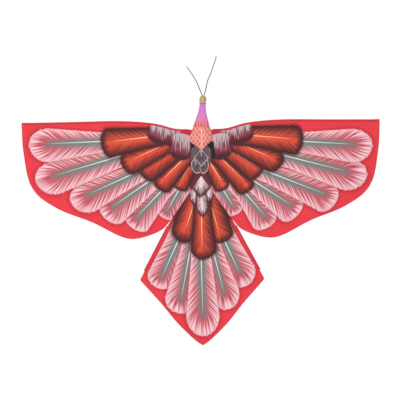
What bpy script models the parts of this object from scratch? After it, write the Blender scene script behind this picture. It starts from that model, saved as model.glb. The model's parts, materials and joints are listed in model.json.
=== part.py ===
"""A bird-shaped delta kite: painted cloth wings and tail on a frame of bamboo sticks.

It hangs upright with its painted face towards -Y and its sticks behind the cloth, on the
+Y side. The origin is the tow point, in the middle of the cloth where the wing sticks
cross the spine. Each wing folds back about a slanting line from the shoulder to the notch
beside the tail, and the tail folds about a level line between the two notches. Where a
stick crosses one of these lines it is joined by a short flexible tube, which is modelled
as two halves with the bending stretch left open between them.
"""

import math

import bmesh
import bpy
from mathutils import Matrix, Vector

# Overall shape of the cloth, in metres. x is out from the spine and z is up from the tow point.
HALF_SPAN = 0.752
SHOULDER_X = 0.048
SHOULDER_Z = 0.051
LEADING_RISE = 0.033
WING_DEPTH = 0.489
NOTCH_X = 0.132
NOTCH_Z = -0.333
TAIL_CORNER_X = 0.261
TAIL_CORNER_Z = -0.580
TAIL_TIP_Z = -0.857

# The leading edge: (share of the way from shoulder to tip, share of the rise), between its ends.
LEADING_SHAPE = [(0.088, 0.09), (0.216, 0.79), (0.415, 1.12), (0.699, 1.06)]
# The trailing edge: (share of the way from notch to tip, share of the wing depth), from the tip in.
TRAILING_SHAPE = [
    (0.984, 0.274),
    (0.926, 0.571),
    (0.755, 0.738),
    (0.526, 0.855),
    (0.329, 0.982),
    (0.214, 0.996),
    (0.065, 0.933),
]
# The tail's lower edges: (share of the way from corner to tip, how far out as a share of the edge).
TAIL_EDGE_SHAPE = [(0.35, 0.008), (0.62, 0.029), (0.88, 0.024)]
CURVE_STEPS = 5

# Cloth, thread and the clearances between touching pieces.
CLOTH = 0.0006
TOUCH_GAP = 0.0003
THREAD_RADIUS = 0.0004
WING_FOLD_GAP = 0.0026
TAIL_FOLD_GAP = 0.0016

# Bamboo sticks.
SPINE_RADIUS = 0.00275
HUB_RADIUS = 0.0025
CROSS_SPAR_RADIUS = 0.0025
CROSS_SPAR_TIP_RADIUS = 0.00175
SPAR_TIP_INSET = 0.034
LEADING_SPAR_RADIUS = 0.0015
STAY_RADIUS = 0.002
STAY_INSET = 0.007
STAY_TOP_GAP = 0.00075
SPINE_UNDER_DOWEL = 0.012
SPINE_END_MARGIN = 0.012
STICK_SIDES = 8

# Flexible tubes over the stick ends.
TUBE_WALL = 0.0012
TUBE_FIT = 0.0004
TUBE_GRIP = 0.022
WING_BEND_GAP = 0.0055
TAIL_BEND_GAP = 0.0035
TUBE_SIDES = 12

# The hem on the leading edge, and the pockets and caps on stick ends.
SLEEVE_WALL = 0.0008
SLEEVE_FIT = 0.0007
POCKET_LENGTH = 0.022
CAP_LENGTH = 0.014
HEM_WIDTH = 0.014
HEM_THICKNESS = 0.0008
TIE_LENGTH = 0.012

# Neck, breast and head. Heights along the neck are measured from its base.
NECK_BASE = Vector((0.003, 0.0, 0.056))
NECK_LEAN = math.radians(3.7)
NECK_DEPTH_RATIO = 0.8
NECK_COVER = 0.001
NECK_PROFILE = [
    (0.106, 0.0125),
    (0.092, 0.0126),
    (0.075, 0.0150),
    (0.057, 0.0190),
    (0.040, 0.0245),
    (0.022, 0.0296),
    (0.000, 0.0360),
]
DOWEL_RADIUS = 0.002
DOWEL_BOTTOM = 0.056
DOWEL_TOP = 0.127
BINDING_HEIGHT = 0.1035
BINDING_RADIUS = 0.0012
BINDING_SIDES = 8
HEAD_BOTTOM = 0.108
HEAD_TOP = 0.134
HEAD_SOCKET_DEPTH = 0.0043
HEAD_SOCKET_FLOOR_RADIUS = 0.0046
HEAD_SOCKET_RIM_RADIUS = 0.0075
HEAD_PROFILE = [(0.134, 0.0085), (0.130, 0.0118), (0.122, 0.0142), (0.114, 0.0146), (0.108, 0.0132)]
# The breast pad: (z, half width, depth), from the top edge of the cloth down to its point.
BREAST_SECTIONS = [
    (0.0505, 0.0380, 0.0290),
    (0.0300, 0.0470, 0.0280),
    (0.0060, 0.0505, 0.0240),
    (-0.0120, 0.0340, 0.0170),
    (-0.0280, 0.0140, 0.0090),
    (-0.0380, 0.0030, 0.0030),
]
BREAST_SIDES = 10
LATHE_STEPS = 24

# Feelers: (out, forward, up) from the root, one list a side.
FEELER_RADIUS = 0.0019
FEELER_ROOT_X = 0.0022
FEELER_ROOT_LIFT = 0.0015
FEELER_RIGHT = [(0, 0, 0), (0.008, 0, 0.025), (0.018, 0.002, 0.067), (0.031, 0.004, 0.096),
                (0.041, 0.005, 0.127), (0.048, 0.005, 0.144), (0.055, 0.004, 0.168)]
FEELER_LEFT = [(0, 0, 0), (0.015, 0.004, 0.039), (0.029, 0.012, 0.070), (0.047, 0.024, 0.098),
               (0.057, 0.032, 0.112), (0.066, 0.040, 0.123)]

SPINE_TIE_HEIGHTS = [-0.055, -0.215, -0.600]

COLOURS = {
    "red_cloth": ((0.80, 0.05, 0.07), 0.75, 0.0),
    "red_hem": ((0.62, 0.03, 0.06), 0.75, 0.0),
    "breast_cloth": ((0.85, 0.30, 0.27), 0.75, 0.0),
    "neck_cloth": ((0.62, 0.25, 0.60), 0.75, 0.0),
    "stuffing": ((0.85, 0.83, 0.78), 0.95, 0.0),
    "bamboo": ((0.66, 0.48, 0.26), 0.55, 0.0),
    "rubber_tube": ((0.06, 0.06, 0.06), 0.45, 0.0),
    "thread": ((0.20, 0.04, 0.05), 0.85, 0.0),
    "gold_paint": ((0.72, 0.50, 0.18), 0.40, 0.6),
    "feeler_reed": ((0.22, 0.06, 0.07), 0.60, 0.0),
}

# Places that follow from the sizes above.
CLOTH_BACK = CLOTH / 2
THREAD_ROOM = 2 * THREAD_RADIUS + 2 * TOUCH_GAP
TUBE_ROOM = TUBE_FIT + TUBE_WALL + TOUCH_GAP
STICK_Y = CLOTH_BACK + max(THREAD_ROOM, TUBE_ROOM) + max(SPINE_RADIUS, STAY_RADIUS)
STAY_TOP_X = SPINE_RADIUS + 2 * STAY_RADIUS + STAY_TOP_GAP
SPINE_TOP_Z = NECK_BASE.z + DOWEL_BOTTOM - SPINE_UNDER_DOWEL
HUB_Y = STICK_Y + SPINE_RADIUS + TOUCH_GAP + HUB_RADIUS
CROSS_SPAR_TIP_X = HALF_SPAN - SPAR_TIP_INSET
SLEEVE_RADIUS = LEADING_SPAR_RADIUS + SLEEVE_FIT + SLEEVE_WALL
TIP_Z = SHOULDER_Z + LEADING_RISE
FOLD_SLOPE = (NOTCH_X - SHOULDER_X) / (SHOULDER_Z - NOTCH_Z)
FOLD_X_AT_HUB = SHOULDER_X + SHOULDER_Z * FOLD_SLOPE
SIDES = {"left": -1, "right": 1}


def clear_scene():
    for obj in list(bpy.data.objects):
        bpy.data.objects.remove(obj, do_unlink=True)


def new_collection(name):
    collection = bpy.data.collections.new(name)
    bpy.context.scene.collection.children.link(collection)
    return collection


def material(name):
    """The Principled material of that name, made the first time it is asked for."""
    found = bpy.data.materials.get(name)
    if found:
        return found
    colour, roughness, metallic = COLOURS[name]
    made = bpy.data.materials.new(name)
    made.use_nodes = True
    shader = made.node_tree.nodes["Principled BSDF"]
    shader.inputs["Base Color"].default_value = (*colour, 1.0)
    shader.inputs["Roughness"].default_value = roughness
    shader.inputs["Metallic"].default_value = metallic
    made.diffuse_color = (*colour, 1.0)
    return made


def add_object(name, data, finish):
    obj = bpy.data.objects.new(name, data)
    KITE.objects.link(obj)
    data.materials.append(material(finish))
    return obj


def mesh_from(bm, name):
    mesh = bpy.data.meshes.new(name)
    bm.to_mesh(mesh)
    bm.free()
    return mesh


def shade_round(mesh):
    mesh.shade_smooth()
    mesh.set_sharp_from_angle(angle=math.radians(40))


def smooth_path(points, steps=CURVE_STEPS):
    """A Catmull-Rom curve through the points, as points a step apart."""
    knots = [Vector(p) for p in points]
    ends = [2 * knots[0] - knots[1], *knots, 2 * knots[-1] - knots[-2]]
    path = []
    for i in range(1, len(ends) - 2):
        before, start, end, after = ends[i - 1 : i + 3]
        for step in range(steps):
            t = step / steps
            path.append(
                0.5
                * (
                    2 * start
                    + (end - before) * t
                    + (2 * before - 5 * start + 4 * end - after) * t**2
                    + (3 * start - 3 * end + after - before) * t**3
                )
            )
    return [*path, knots[-1]]


def leading_edge():
    """Points (x, z) along the top of a right wing, from the shoulder to the tip."""
    reach = HALF_SPAN - SHOULDER_X
    inner = [(SHOULDER_X + u * reach, SHOULDER_Z + v * LEADING_RISE) for u, v in LEADING_SHAPE]
    return smooth_path([(SHOULDER_X, SHOULDER_Z), *inner, (HALF_SPAN, TIP_Z)])


def trailing_edge():
    """Points (x, z) round a right wing's lower edge, from the tip to the notch."""
    reach = HALF_SPAN - NOTCH_X
    inner = [(NOTCH_X + u * reach, TIP_Z - v * WING_DEPTH) for u, v in TRAILING_SHAPE]
    return smooth_path([(HALF_SPAN, TIP_Z), *inner, (NOTCH_X, NOTCH_Z)])


def tail_lower_edge():
    """Points (x, z) down the tail's right lower edge, from the corner to just short of the tip."""
    corner, tip = Vector((TAIL_CORNER_X, TAIL_CORNER_Z)), Vector((0.0, TAIL_TIP_Z))
    edge = tip - corner
    outward = Vector((-edge.y, edge.x))
    inner = [tuple(corner + u * edge + v * outward) for u, v in TAIL_EDGE_SHAPE]
    return smooth_path([tuple(corner), *inner, tuple(tip)])[:-1]


def panel(name, outline, finish, thickness=CLOTH, middle_y=0.0):
    """A flat sheet with this outline of (x, z) points, its middle at middle_y."""
    curve = bpy.data.curves.new(name, "CURVE")
    curve.dimensions = "2D"
    curve.fill_mode = "BOTH"
    curve.extrude = thickness / 2
    spline = curve.splines.new("POLY")
    spline.points.add(len(outline) - 1)
    spline.use_cyclic_u = True
    for point, (x, z) in zip(spline.points, outline):
        point.co = (x, z, 0.0, 1.0)
    obj = add_object(name, curve, finish)
    obj.location = (0.0, middle_y, 0.0)
    obj.rotation_euler = (math.radians(90), 0.0, 0.0)
    return obj


def place_along(obj, start, end):
    """Puts the object's origin at start with its own +Z towards end."""
    obj.rotation_mode = "QUATERNION"
    obj.location = start
    obj.rotation_quaternion = (Vector(end) - Vector(start)).to_track_quat("Z", "Y")


def tapered_bar(start, end, start_radius, end_radius, sides, closed=True):
    """A bmesh bar or open tube along +Z, from z 0 to the distance between start and end."""
    length = (Vector(end) - Vector(start)).length
    bm = bmesh.new()
    bmesh.ops.create_cone(
        bm,
        cap_ends=closed,
        segments=sides,
        radius1=start_radius,
        radius2=end_radius,
        depth=length,
        matrix=Matrix.Translation((0.0, 0.0, length / 2)),
    )
    return bm


def stick(name, start, end, radius, tip_radius=None, finish="bamboo"):
    """A straight whittled stick between two points."""
    bm = tapered_bar(start, end, radius, tip_radius or radius, STICK_SIDES)
    mesh = mesh_from(bm, name)
    shade_round(mesh)
    obj = add_object(name, mesh, finish)
    place_along(obj, start, end)
    return obj


def hollow(name, start, end, bore_radius, wall, finish, end_closed=False):
    """A tube from start to end, or a cup that is closed at its far end."""
    bm = tapered_bar(start, end, bore_radius, bore_radius, TUBE_SIDES, closed=end_closed)
    if end_closed:
        mouth = [face for face in bm.faces if face.calc_center_median().z < TOUCH_GAP]
        bmesh.ops.delete(bm, geom=mouth, context="FACES_ONLY")
    mesh = mesh_from(bm, name)
    shade_round(mesh)
    obj = add_object(name, mesh, finish)
    place_along(obj, start, end)
    shell = obj.modifiers.new("wall", "SOLIDIFY")
    shell.thickness = wall
    shell.offset = 1.0
    shell.use_even_offset = True
    return obj


def tube_between(name, end, direction, stick_radius):
    """Half a flexible tube, from the end of the stick that it grips back along the stick."""
    start = Vector(end)
    far = start + Vector(direction).normalized() * TUBE_GRIP
    return hollow(name, start, far, stick_radius + TUBE_FIT, TUBE_WALL, "rubber_tube")


def wire(name, points, radius, finish, closed=False, tip_share=1.0, bevel_resolution=2):
    """A round bar that follows the points, thinning towards its end by tip_share."""
    curve = bpy.data.curves.new(name, "CURVE")
    curve.dimensions = "3D"
    curve.bevel_depth = radius
    curve.bevel_resolution = bevel_resolution
    curve.use_fill_caps = not closed
    spline = curve.splines.new("POLY")
    spline.points.add(len(points) - 1)
    spline.use_cyclic_u = closed
    for i, (point, place) in enumerate(zip(spline.points, points)):
        point.co = (*place, 1.0)
        point.radius = 1.0 + (tip_share - 1.0) * i / (len(points) - 1)
    return add_object(name, curve, finish)


def turned(name, profile, finish, closed_loop=False):
    """A solid turned about Z from (height, radius) points that run down its outer side."""
    bm = bmesh.new()
    corners = [bm.verts.new((radius, 0.0, height)) for height, radius in profile]
    for first, second in zip(corners, corners[1:]):
        bm.edges.new((first, second))
    if closed_loop:
        bm.edges.new((corners[-1], corners[0]))
    mesh = mesh_from(bm, name)
    obj = add_object(name, mesh, finish)
    screw = obj.modifiers.new("turn", "SCREW")
    screw.steps = screw.render_steps = LATHE_STEPS
    screw.use_merge_vertices = True
    screw.merge_threshold = 1e-5
    screw.use_smooth_shade = True
    return obj


def on_neck(obj):
    """Stands a turned piece on the leaning neck, as deep as the neck is."""
    obj.parent = NECK_AXIS
    obj.scale = (1.0, NECK_DEPTH_RATIO, 1.0)
    return obj


def hang_on_axis(name, place, direction, build, *details):
    """Makes a moving body's pieces and parents them to an empty whose Z is its joint's axis."""
    before = set(KITE.objects)
    build(*details)
    axis = bpy.data.objects.new(name, None)
    axis.location = place
    axis.rotation_euler = Vector(direction).to_track_quat("Z", "Y").to_euler()
    axis.empty_display_size = TUBE_GRIP
    for piece in [obj for obj in KITE.objects if obj not in before]:
        piece.parent = axis
        piece.matrix_parent_inverse = axis.matrix_basis.inverted()
    KITE.objects.link(axis)


def neck_point(height, out=0.0):
    """The world place of a point on the neck's axis, moved sideways by out."""
    return NECK_BASE + Matrix.Rotation(NECK_LEAN, 3, "Y") @ Vector((out, 0.0, height))


def fold_x(z):
    """How far out the wing's fold line is at that height."""
    return SHOULDER_X + (SHOULDER_Z - z) * FOLD_SLOPE


def stay_line():
    """The tail stick's corner end, its crossing of the tail's fold line and its top, as (x, z)."""
    corner = Vector((TAIL_CORNER_X, TAIL_CORNER_Z))
    notch = Vector((NOTCH_X, NOTCH_Z))
    along = (corner - notch).normalized()
    inset = Vector((along.y, -along.x)) * STAY_INSET
    low = corner + inset - along * (STAY_INSET + POCKET_LENGTH / 2)
    crossing = low + along * ((NOTCH_Z - low.y) / along.y)
    top = low + along * ((STAY_TOP_X - low.x) / along.x)
    return low, crossing, top, along


def mirrored(points, side):
    return [(side * x, *rest) for x, *rest in points]


def in_stick_plane(point, side):
    """A right-hand (x, z) point as a world place in the plane of the sticks."""
    return Vector((side * point[0], STICK_Y, point[1]))


def make_centre():
    """The cloth between the two fold lines, and what holds it to the spine."""
    half_gap = WING_FOLD_GAP / 2
    bottom = NOTCH_Z + TAIL_FOLD_GAP / 2
    right = [(fold_x(SHOULDER_Z) - half_gap, SHOULDER_Z), (fold_x(bottom) - half_gap, bottom)]
    panel("centre_sail", [*right, *reversed(mirrored(right, -1))], "red_cloth")
    spine_end = NOTCH_Z + TAIL_BEND_GAP
    stick("spine_upper", (0, STICK_Y, spine_end), (0, STICK_Y, SPINE_TOP_Z), SPINE_RADIUS)
    tube_between("spine_tube_upper", (0, STICK_Y, spine_end), (0, 0, 1), SPINE_RADIUS)
    hub_end = FOLD_X_AT_HUB - WING_BEND_GAP
    stick("hub_stick", (-hub_end, HUB_Y, 0), (hub_end, HUB_Y, 0), HUB_RADIUS)
    _, crossing, top, along = stay_line()
    for side_name, side in SIDES.items():
        tube_between(f"wing_tube_inner_{side_name}", (side * hub_end, HUB_Y, 0), (-side, 0, 0), HUB_RADIUS)
        near = in_stick_plane(crossing - along * TAIL_BEND_GAP, side)
        far = in_stick_plane(top, side)
        stick(f"tail_stay_{side_name}", near, far, STAY_RADIUS)
        tube_between(f"stay_tube_upper_{side_name}", near, far - near, STAY_RADIUS)


def make_lashings():
    """Loops of thread: one round spine and hub stick, one round spine and tail stays."""
    reach = THREAD_RADIUS + TOUCH_GAP
    front = STICK_Y - SPINE_RADIUS - reach
    hub_back = HUB_Y + HUB_RADIUS + reach
    half = math.sqrt(2) * max(SPINE_RADIUS, HUB_RADIUS) + reach + THREAD_RADIUS
    corner = half * math.sqrt(0.5)
    slant = [(-corner, front), (corner, front), (corner, hub_back), (-corner, hub_back)]
    wire("hub_lashing", [(u, y, u) for u, y in slant], THREAD_RADIUS, "thread", closed=True)
    _, _, top, along = stay_line()
    stay_height = top.y - 2 * STAY_RADIUS
    stay_x = STAY_TOP_X - (stay_height - top.y) * -along.x / along.y
    half = stay_x + STAY_RADIUS / -along.y + reach + THREAD_RADIUS
    stay_back = STICK_Y + max(SPINE_RADIUS, STAY_RADIUS) + reach
    around = [(-half, front), (half, front), (half, stay_back), (-half, stay_back)]
    wire("stay_lashing", [(x, y, stay_height) for x, y in around], THREAD_RADIUS, "thread", closed=True)
    for number in range(1, len(SPINE_TIE_HEIGHTS)):
        make_spine_tie(number)


def make_spine_tie(number):
    """A stitch of thread over the back of the spine; the last one belongs to the tail."""
    height = SPINE_TIE_HEIGHTS[number - 1]
    arch_radius = SPINE_RADIUS + THREAD_RADIUS + TOUCH_GAP
    foot = CLOTH_BACK + TOUCH_GAP + THREAD_RADIUS
    turn = [math.pi * i / 8 for i in range(9)]
    crown = [(arch_radius * math.cos(a), STICK_Y + arch_radius * math.sin(a), height) for a in turn]
    feet = [(arch_radius, foot, height), (-arch_radius, foot, height)]
    wire(f"spine_tie_{number}", [feet[0], *crown, feet[1]], THREAD_RADIUS, "thread")


def make_wing(side_name):
    """One wing: its cloth, leading edge hem and batten, cross spar and the fittings on them."""
    side = SIDES[side_name]
    top, bottom = leading_edge(), trailing_edge()
    half_gap = WING_FOLD_GAP / 2
    under_sleeve = 2 * SLEEVE_RADIUS + TOUCH_GAP
    below_tip = [tuple(p) for p in bottom if p.y < TIP_Z - 2 * under_sleeve]
    outline = [(p.x, p.y - under_sleeve) for p in top] + below_tip
    outline[0] = (fold_x(outline[0][1]) + half_gap, outline[0][1])
    outline[-1] = (outline[-1][0] + half_gap, outline[-1][1])
    panel(f"wing_sail_{side_name}", mirrored(outline, side), "red_cloth")

    axis = [Vector((side * p.x, 0.0, p.y - SLEEVE_RADIUS)) for p in top]
    sleeve_end = axis[-1] + (axis[-2] - axis[-1]).normalized() * POCKET_LENGTH
    start = axis[0] + (axis[1] - axis[0]).normalized() * WING_FOLD_GAP
    path = [start, *axis[1:-1]]
    make_sleeve(f"leading_sleeve_{side_name}", [*path, sleeve_end])
    batten_end = axis[-1] + (axis[-2] - axis[-1]).normalized() * 2 * SLEEVE_WALL
    wire(f"leading_batten_{side_name}", [*path, batten_end], LEADING_SPAR_RADIUS, "bamboo",
         bevel_resolution=1)
    pocket_start = sleeve_end + (axis[-1] - sleeve_end).normalized() * TOUCH_GAP
    hollow(f"leading_tip_pocket_{side_name}", pocket_start, axis[-1] - Vector((side * SLEEVE_WALL, 0, 0)),
           LEADING_SPAR_RADIUS + SLEEVE_FIT, SLEEVE_WALL, "red_hem", end_closed=True)
    make_cross_spar(side_name, side)


def make_sleeve(name, path):
    """The hem as a tube round the batten: an open curve surface given a wall."""
    curve = bpy.data.curves.new(name, "CURVE")
    curve.dimensions = "3D"
    curve.bevel_depth = LEADING_SPAR_RADIUS + SLEEVE_FIT
    curve.bevel_resolution = 1
    spline = curve.splines.new("POLY")
    spline.points.add(len(path) - 1)
    for point, place in zip(spline.points, path):
        point.co = (*place, 1.0)
    guide = bpy.data.objects.new(f"{name}_guide", curve)
    bpy.context.scene.collection.objects.link(guide)
    graph = bpy.context.evaluated_depsgraph_get()
    mesh = bpy.data.meshes.new_from_object(guide.evaluated_get(graph))
    bpy.data.objects.remove(guide)
    bm = bmesh.new()
    bm.from_mesh(mesh)
    bmesh.ops.remove_doubles(bm, verts=bm.verts, dist=1e-6)
    bm.to_mesh(mesh)
    bm.free()
    obj = add_object(name, mesh, "red_hem")
    wall = obj.modifiers.new("wall", "SOLIDIFY")
    wall.thickness = SLEEVE_WALL
    wall.offset = 1.0
    wall.use_even_offset = True


def make_cross_spar(side_name, side):
    """The wing's main stick, its flexible tube to the hub stick, its end cap and the tie there."""
    tip_y = CLOTH_BACK + 2 * TOUCH_GAP + TUBE_WALL + TUBE_FIT + CROSS_SPAR_TIP_RADIUS
    root = Vector((side * (FOLD_X_AT_HUB + WING_BEND_GAP), HUB_Y, 0.0))
    tip = Vector((side * CROSS_SPAR_TIP_X, tip_y, 0.0))
    along = (tip - root).normalized()
    stick(f"cross_spar_{side_name}", root, tip, CROSS_SPAR_RADIUS, CROSS_SPAR_TIP_RADIUS)
    tube_between(f"wing_tube_outer_{side_name}", root, along, CROSS_SPAR_RADIUS)
    cap_start = tip - along * (CAP_LENGTH - TOUCH_GAP)
    cap_bore = CROSS_SPAR_TIP_RADIUS + TUBE_FIT
    hollow(f"spar_cap_{side_name}", cap_start, tip + along * TOUCH_GAP, cap_bore, TUBE_WALL,
           "rubber_tube", end_closed=True)
    front = -(CLOTH_BACK + TOUCH_GAP + THREAD_RADIUS)
    tie = [(side * (CROSS_SPAR_TIP_X - TIE_LENGTH + u), front, 0.0) for u in (0.0, TIE_LENGTH)]
    wire(f"tip_tie_{side_name}", tie, THREAD_RADIUS, "thread")


def make_tail():
    """The tail's cloth, the ends of its sticks, the hems over them and their pockets."""
    top = NOTCH_Z - TAIL_FOLD_GAP / 2
    right = [(NOTCH_X, top), *tail_lower_edge()]
    outline = [*right, (0.0, TAIL_TIP_Z), *reversed(mirrored(right, -1))]
    panel("tail_sail", outline, "red_cloth")
    start = Vector((0.0, STICK_Y, NOTCH_Z - TAIL_BEND_GAP))
    tip = Vector((0.0, STICK_Y, TAIL_TIP_Z + SPINE_END_MARGIN))
    stick("spine_lower", start, tip, SPINE_RADIUS)
    tube_between("spine_tube_lower", start, (0, 0, -1), SPINE_RADIUS)
    mouth = tip + Vector((0.0, 0.0, POCKET_LENGTH))
    hollow("tail_tip_pocket", mouth, tip - Vector((0, 0, TOUCH_GAP)), SPINE_RADIUS + TUBE_FIT,
           SLEEVE_WALL, "red_hem", end_closed=True)
    make_spine_tie(len(SPINE_TIE_HEIGHTS))
    for side_name, side in SIDES.items():
        make_tail_spar(side_name, side)


def make_tail_spar(side_name, side):
    """The lower length of one side stick of the tail, its tube, its pocket and the hem behind it."""
    low, crossing, _, along = stay_line()
    near = crossing + along * TAIL_BEND_GAP
    start = in_stick_plane(near, side)
    far = in_stick_plane(low, side)
    stick(f"tail_spar_{side_name}", start, far, STAY_RADIUS)
    tube_between(f"stay_tube_lower_{side_name}", start, far - start, STAY_RADIUS)
    mouth = in_stick_plane(low - along * POCKET_LENGTH, side)
    end = in_stick_plane(low + along * TOUCH_GAP, side)
    hollow(f"tail_corner_pocket_{side_name}", mouth, end, STAY_RADIUS + TUBE_FIT, SLEEVE_WALL,
           "red_hem", end_closed=True)

    hem_start = near + along * (TUBE_GRIP + 2 * TUBE_WALL)
    hem_end = low - along * (POCKET_LENGTH + 2 * TUBE_WALL)
    across = Vector((along.y, -along.x)) * HEM_WIDTH / 2
    strip = [hem_start + across, hem_end + across, hem_end - across, hem_start - across]
    back = STICK_Y + STAY_RADIUS + TOUCH_GAP + HEM_THICKNESS / 2
    panel(f"tail_hem_{side_name}", mirrored([tuple(p) for p in strip], side), "red_hem",
          HEM_THICKNESS, back)


def make_neck():
    """The stuffed neck with its stick, the thread round its top and the gold head."""
    inside = [(height, radius - NECK_COVER) for height, radius in reversed(NECK_PROFILE)]
    on_neck(turned("neck_cover", [*NECK_PROFILE, *inside], "neck_cloth", closed_loop=True))

    slack = NECK_COVER + TOUCH_GAP
    bore = DOWEL_RADIUS + TOUCH_GAP
    core = [(height, radius - slack) for height, radius in NECK_PROFILE]
    core[0] = (core[0][0] - slack, core[0][1])
    hole_bottom = DOWEL_BOTTOM - slack
    stuffing = on_neck(turned("neck_stuffing", [(core[0][0], 0.0), *core, (0.0, 0.0)], "stuffing"))
    cutters = {
        "dowel_hole": (neck_point(hole_bottom), neck_point(HEAD_TOP), bore),
        "spine_hole": ((0, STICK_Y, 0), (0, STICK_Y, SPINE_TOP_Z + slack), SPINE_RADIUS + TOUCH_GAP),
    }
    for name, (start, end, radius) in cutters.items():
        plug = mesh_from(tapered_bar(start, end, radius, radius, TUBE_SIDES), name)
        cutter = bpy.data.objects.new(name, plug)
        CUTTERS.objects.link(cutter)
        place_along(cutter, start, end)
        cutter.hide_render = True
        cutter.display_type = "WIRE"
        cut = stuffing.modifiers.new(name, "BOOLEAN")
        cut.operation = "DIFFERENCE"
        cut.object = cutter

    stick("neck_dowel", neck_point(DOWEL_BOTTOM), neck_point(DOWEL_TOP), DOWEL_RADIUS)
    ring = max(radius for height, radius in NECK_PROFILE[:2]) + 2 * TOUCH_GAP + BINDING_RADIUS
    turn = [math.tau * i / BINDING_SIDES for i in range(BINDING_SIDES)]
    section = [(BINDING_HEIGHT + BINDING_RADIUS * math.cos(a), ring + BINDING_RADIUS * math.sin(a))
               for a in turn]
    on_neck(turned("neck_binding", section, "thread", closed_loop=True))

    floor = HEAD_TOP - HEAD_SOCKET_DEPTH
    head_bore = (DOWEL_RADIUS + 2 * TOUCH_GAP) / NECK_DEPTH_RATIO
    socket = [(HEAD_BOTTOM, head_bore), (floor, head_bore), (floor, HEAD_SOCKET_FLOOR_RADIUS),
              (HEAD_TOP, HEAD_SOCKET_RIM_RADIUS)]
    on_neck(turned("head_bead", [*HEAD_PROFILE, *socket], "gold_paint", closed_loop=True))


def make_breast():
    """A padded shield on the front of the cloth, lofted between half ellipses."""
    back = -(CLOTH_BACK + TOUCH_GAP)
    bm = bmesh.new()
    rings = []
    for z, half_width, depth in BREAST_SECTIONS:
        turn = [math.pi * i / BREAST_SIDES for i in range(BREAST_SIDES + 1)]
        rings.append(
            [bm.verts.new((-half_width * math.cos(a), back - depth * math.sin(a), z)) for a in turn]
        )
    for upper, lower in zip(rings, rings[1:]):
        count = len(upper)
        for i in range(count):
            j = (i + 1) % count
            bm.faces.new((upper[i], lower[i], lower[j], upper[j]))
    bm.faces.new(rings[0])
    bm.faces.new(reversed(rings[-1]))
    bmesh.ops.recalc_face_normals(bm, faces=bm.faces)
    mesh = mesh_from(bm, "breast_pad")
    shade_round(mesh)
    add_object("breast_pad", mesh, "breast_cloth")


def feeler_root(side):
    return neck_point(HEAD_TOP - HEAD_SOCKET_DEPTH + FEELER_ROOT_LIFT, side * FEELER_ROOT_X)


def make_feeler(side_name, points):
    """A thin reed that springs from the socket on top of the head."""
    side = SIDES[side_name]
    path = smooth_path([(side * out, -forward, up) for out, forward, up in points], 3)
    places = [feeler_root(side) + place for place in path]
    wire(f"feeler_{side_name}", places, FEELER_RADIUS, "feeler_reed", tip_share=0.8)


clear_scene()
KITE = new_collection("bird_delta_kite")
CUTTERS = new_collection("cutters")
NECK_AXIS = bpy.data.objects.new("neck_axis", None)
KITE.objects.link(NECK_AXIS)
NECK_AXIS.location = NECK_BASE
NECK_AXIS.rotation_euler = (0.0, NECK_LEAN, 0.0)

make_centre()
make_lashings()
make_neck()
make_breast()
for name, way in SIDES.items():
    fold_foot = (way * FOLD_X_AT_HUB, HUB_Y, 0.0)
    fold_direction = (way * (NOTCH_X - SHOULDER_X), 0.0, NOTCH_Z - SHOULDER_Z)
    hang_on_axis(f"wing_fold_{name}", fold_foot, fold_direction, make_wing, name)
hang_on_axis("tail_fold", (0.0, STICK_Y, NOTCH_Z), (1.0, 0.0, 0.0), make_tail)
for name, bends in {"left": FEELER_LEFT, "right": FEELER_RIGHT}.items():
    hang_on_axis(f"feeler_root_{name}", feeler_root(SIDES[name]), (0, 1, 0), make_feeler, name, bends)
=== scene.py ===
# %% [markdown]
# # A bird-shaped kite of painted cloth
#
# The kite hangs upright with its painted face towards -Y. Thin nylon is stretched over
# bamboo sticks and painted by hand with feathers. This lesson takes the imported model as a
# fixed frame, and adds what the frame leaves plain: the cloth with its paint, hems and
# stitches, the stuffed neck, the flexible tubes, the thread and the finish of every stick.

import json
import math

import bmesh
import bpy
from mathutils import Matrix, Vector, noise


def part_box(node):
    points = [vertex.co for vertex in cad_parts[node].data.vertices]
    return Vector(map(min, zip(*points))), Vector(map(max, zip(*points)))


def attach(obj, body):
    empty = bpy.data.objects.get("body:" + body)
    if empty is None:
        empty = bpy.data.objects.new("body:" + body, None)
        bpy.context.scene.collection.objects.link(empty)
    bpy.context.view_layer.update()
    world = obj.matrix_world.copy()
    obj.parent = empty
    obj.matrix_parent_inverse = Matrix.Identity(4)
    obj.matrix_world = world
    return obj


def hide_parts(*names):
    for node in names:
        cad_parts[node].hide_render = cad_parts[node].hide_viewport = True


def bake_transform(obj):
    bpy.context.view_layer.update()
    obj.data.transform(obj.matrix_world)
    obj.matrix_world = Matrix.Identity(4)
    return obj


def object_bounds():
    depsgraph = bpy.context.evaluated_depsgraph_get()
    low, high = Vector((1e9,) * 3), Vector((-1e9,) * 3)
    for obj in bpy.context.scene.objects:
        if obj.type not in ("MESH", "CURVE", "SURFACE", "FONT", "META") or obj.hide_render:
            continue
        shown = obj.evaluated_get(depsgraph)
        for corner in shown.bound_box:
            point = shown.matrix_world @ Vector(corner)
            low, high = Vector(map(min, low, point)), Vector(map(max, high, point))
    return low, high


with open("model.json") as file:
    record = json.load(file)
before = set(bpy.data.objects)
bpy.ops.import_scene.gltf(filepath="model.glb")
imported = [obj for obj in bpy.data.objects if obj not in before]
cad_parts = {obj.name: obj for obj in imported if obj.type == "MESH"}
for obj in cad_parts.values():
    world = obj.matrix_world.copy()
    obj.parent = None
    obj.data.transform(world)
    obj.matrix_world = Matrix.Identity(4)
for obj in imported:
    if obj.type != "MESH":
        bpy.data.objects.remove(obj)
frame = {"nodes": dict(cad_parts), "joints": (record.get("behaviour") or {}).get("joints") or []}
cad_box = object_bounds()
nodes = frame["nodes"]
SIDES = {"left": -1, "right": 1}

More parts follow.
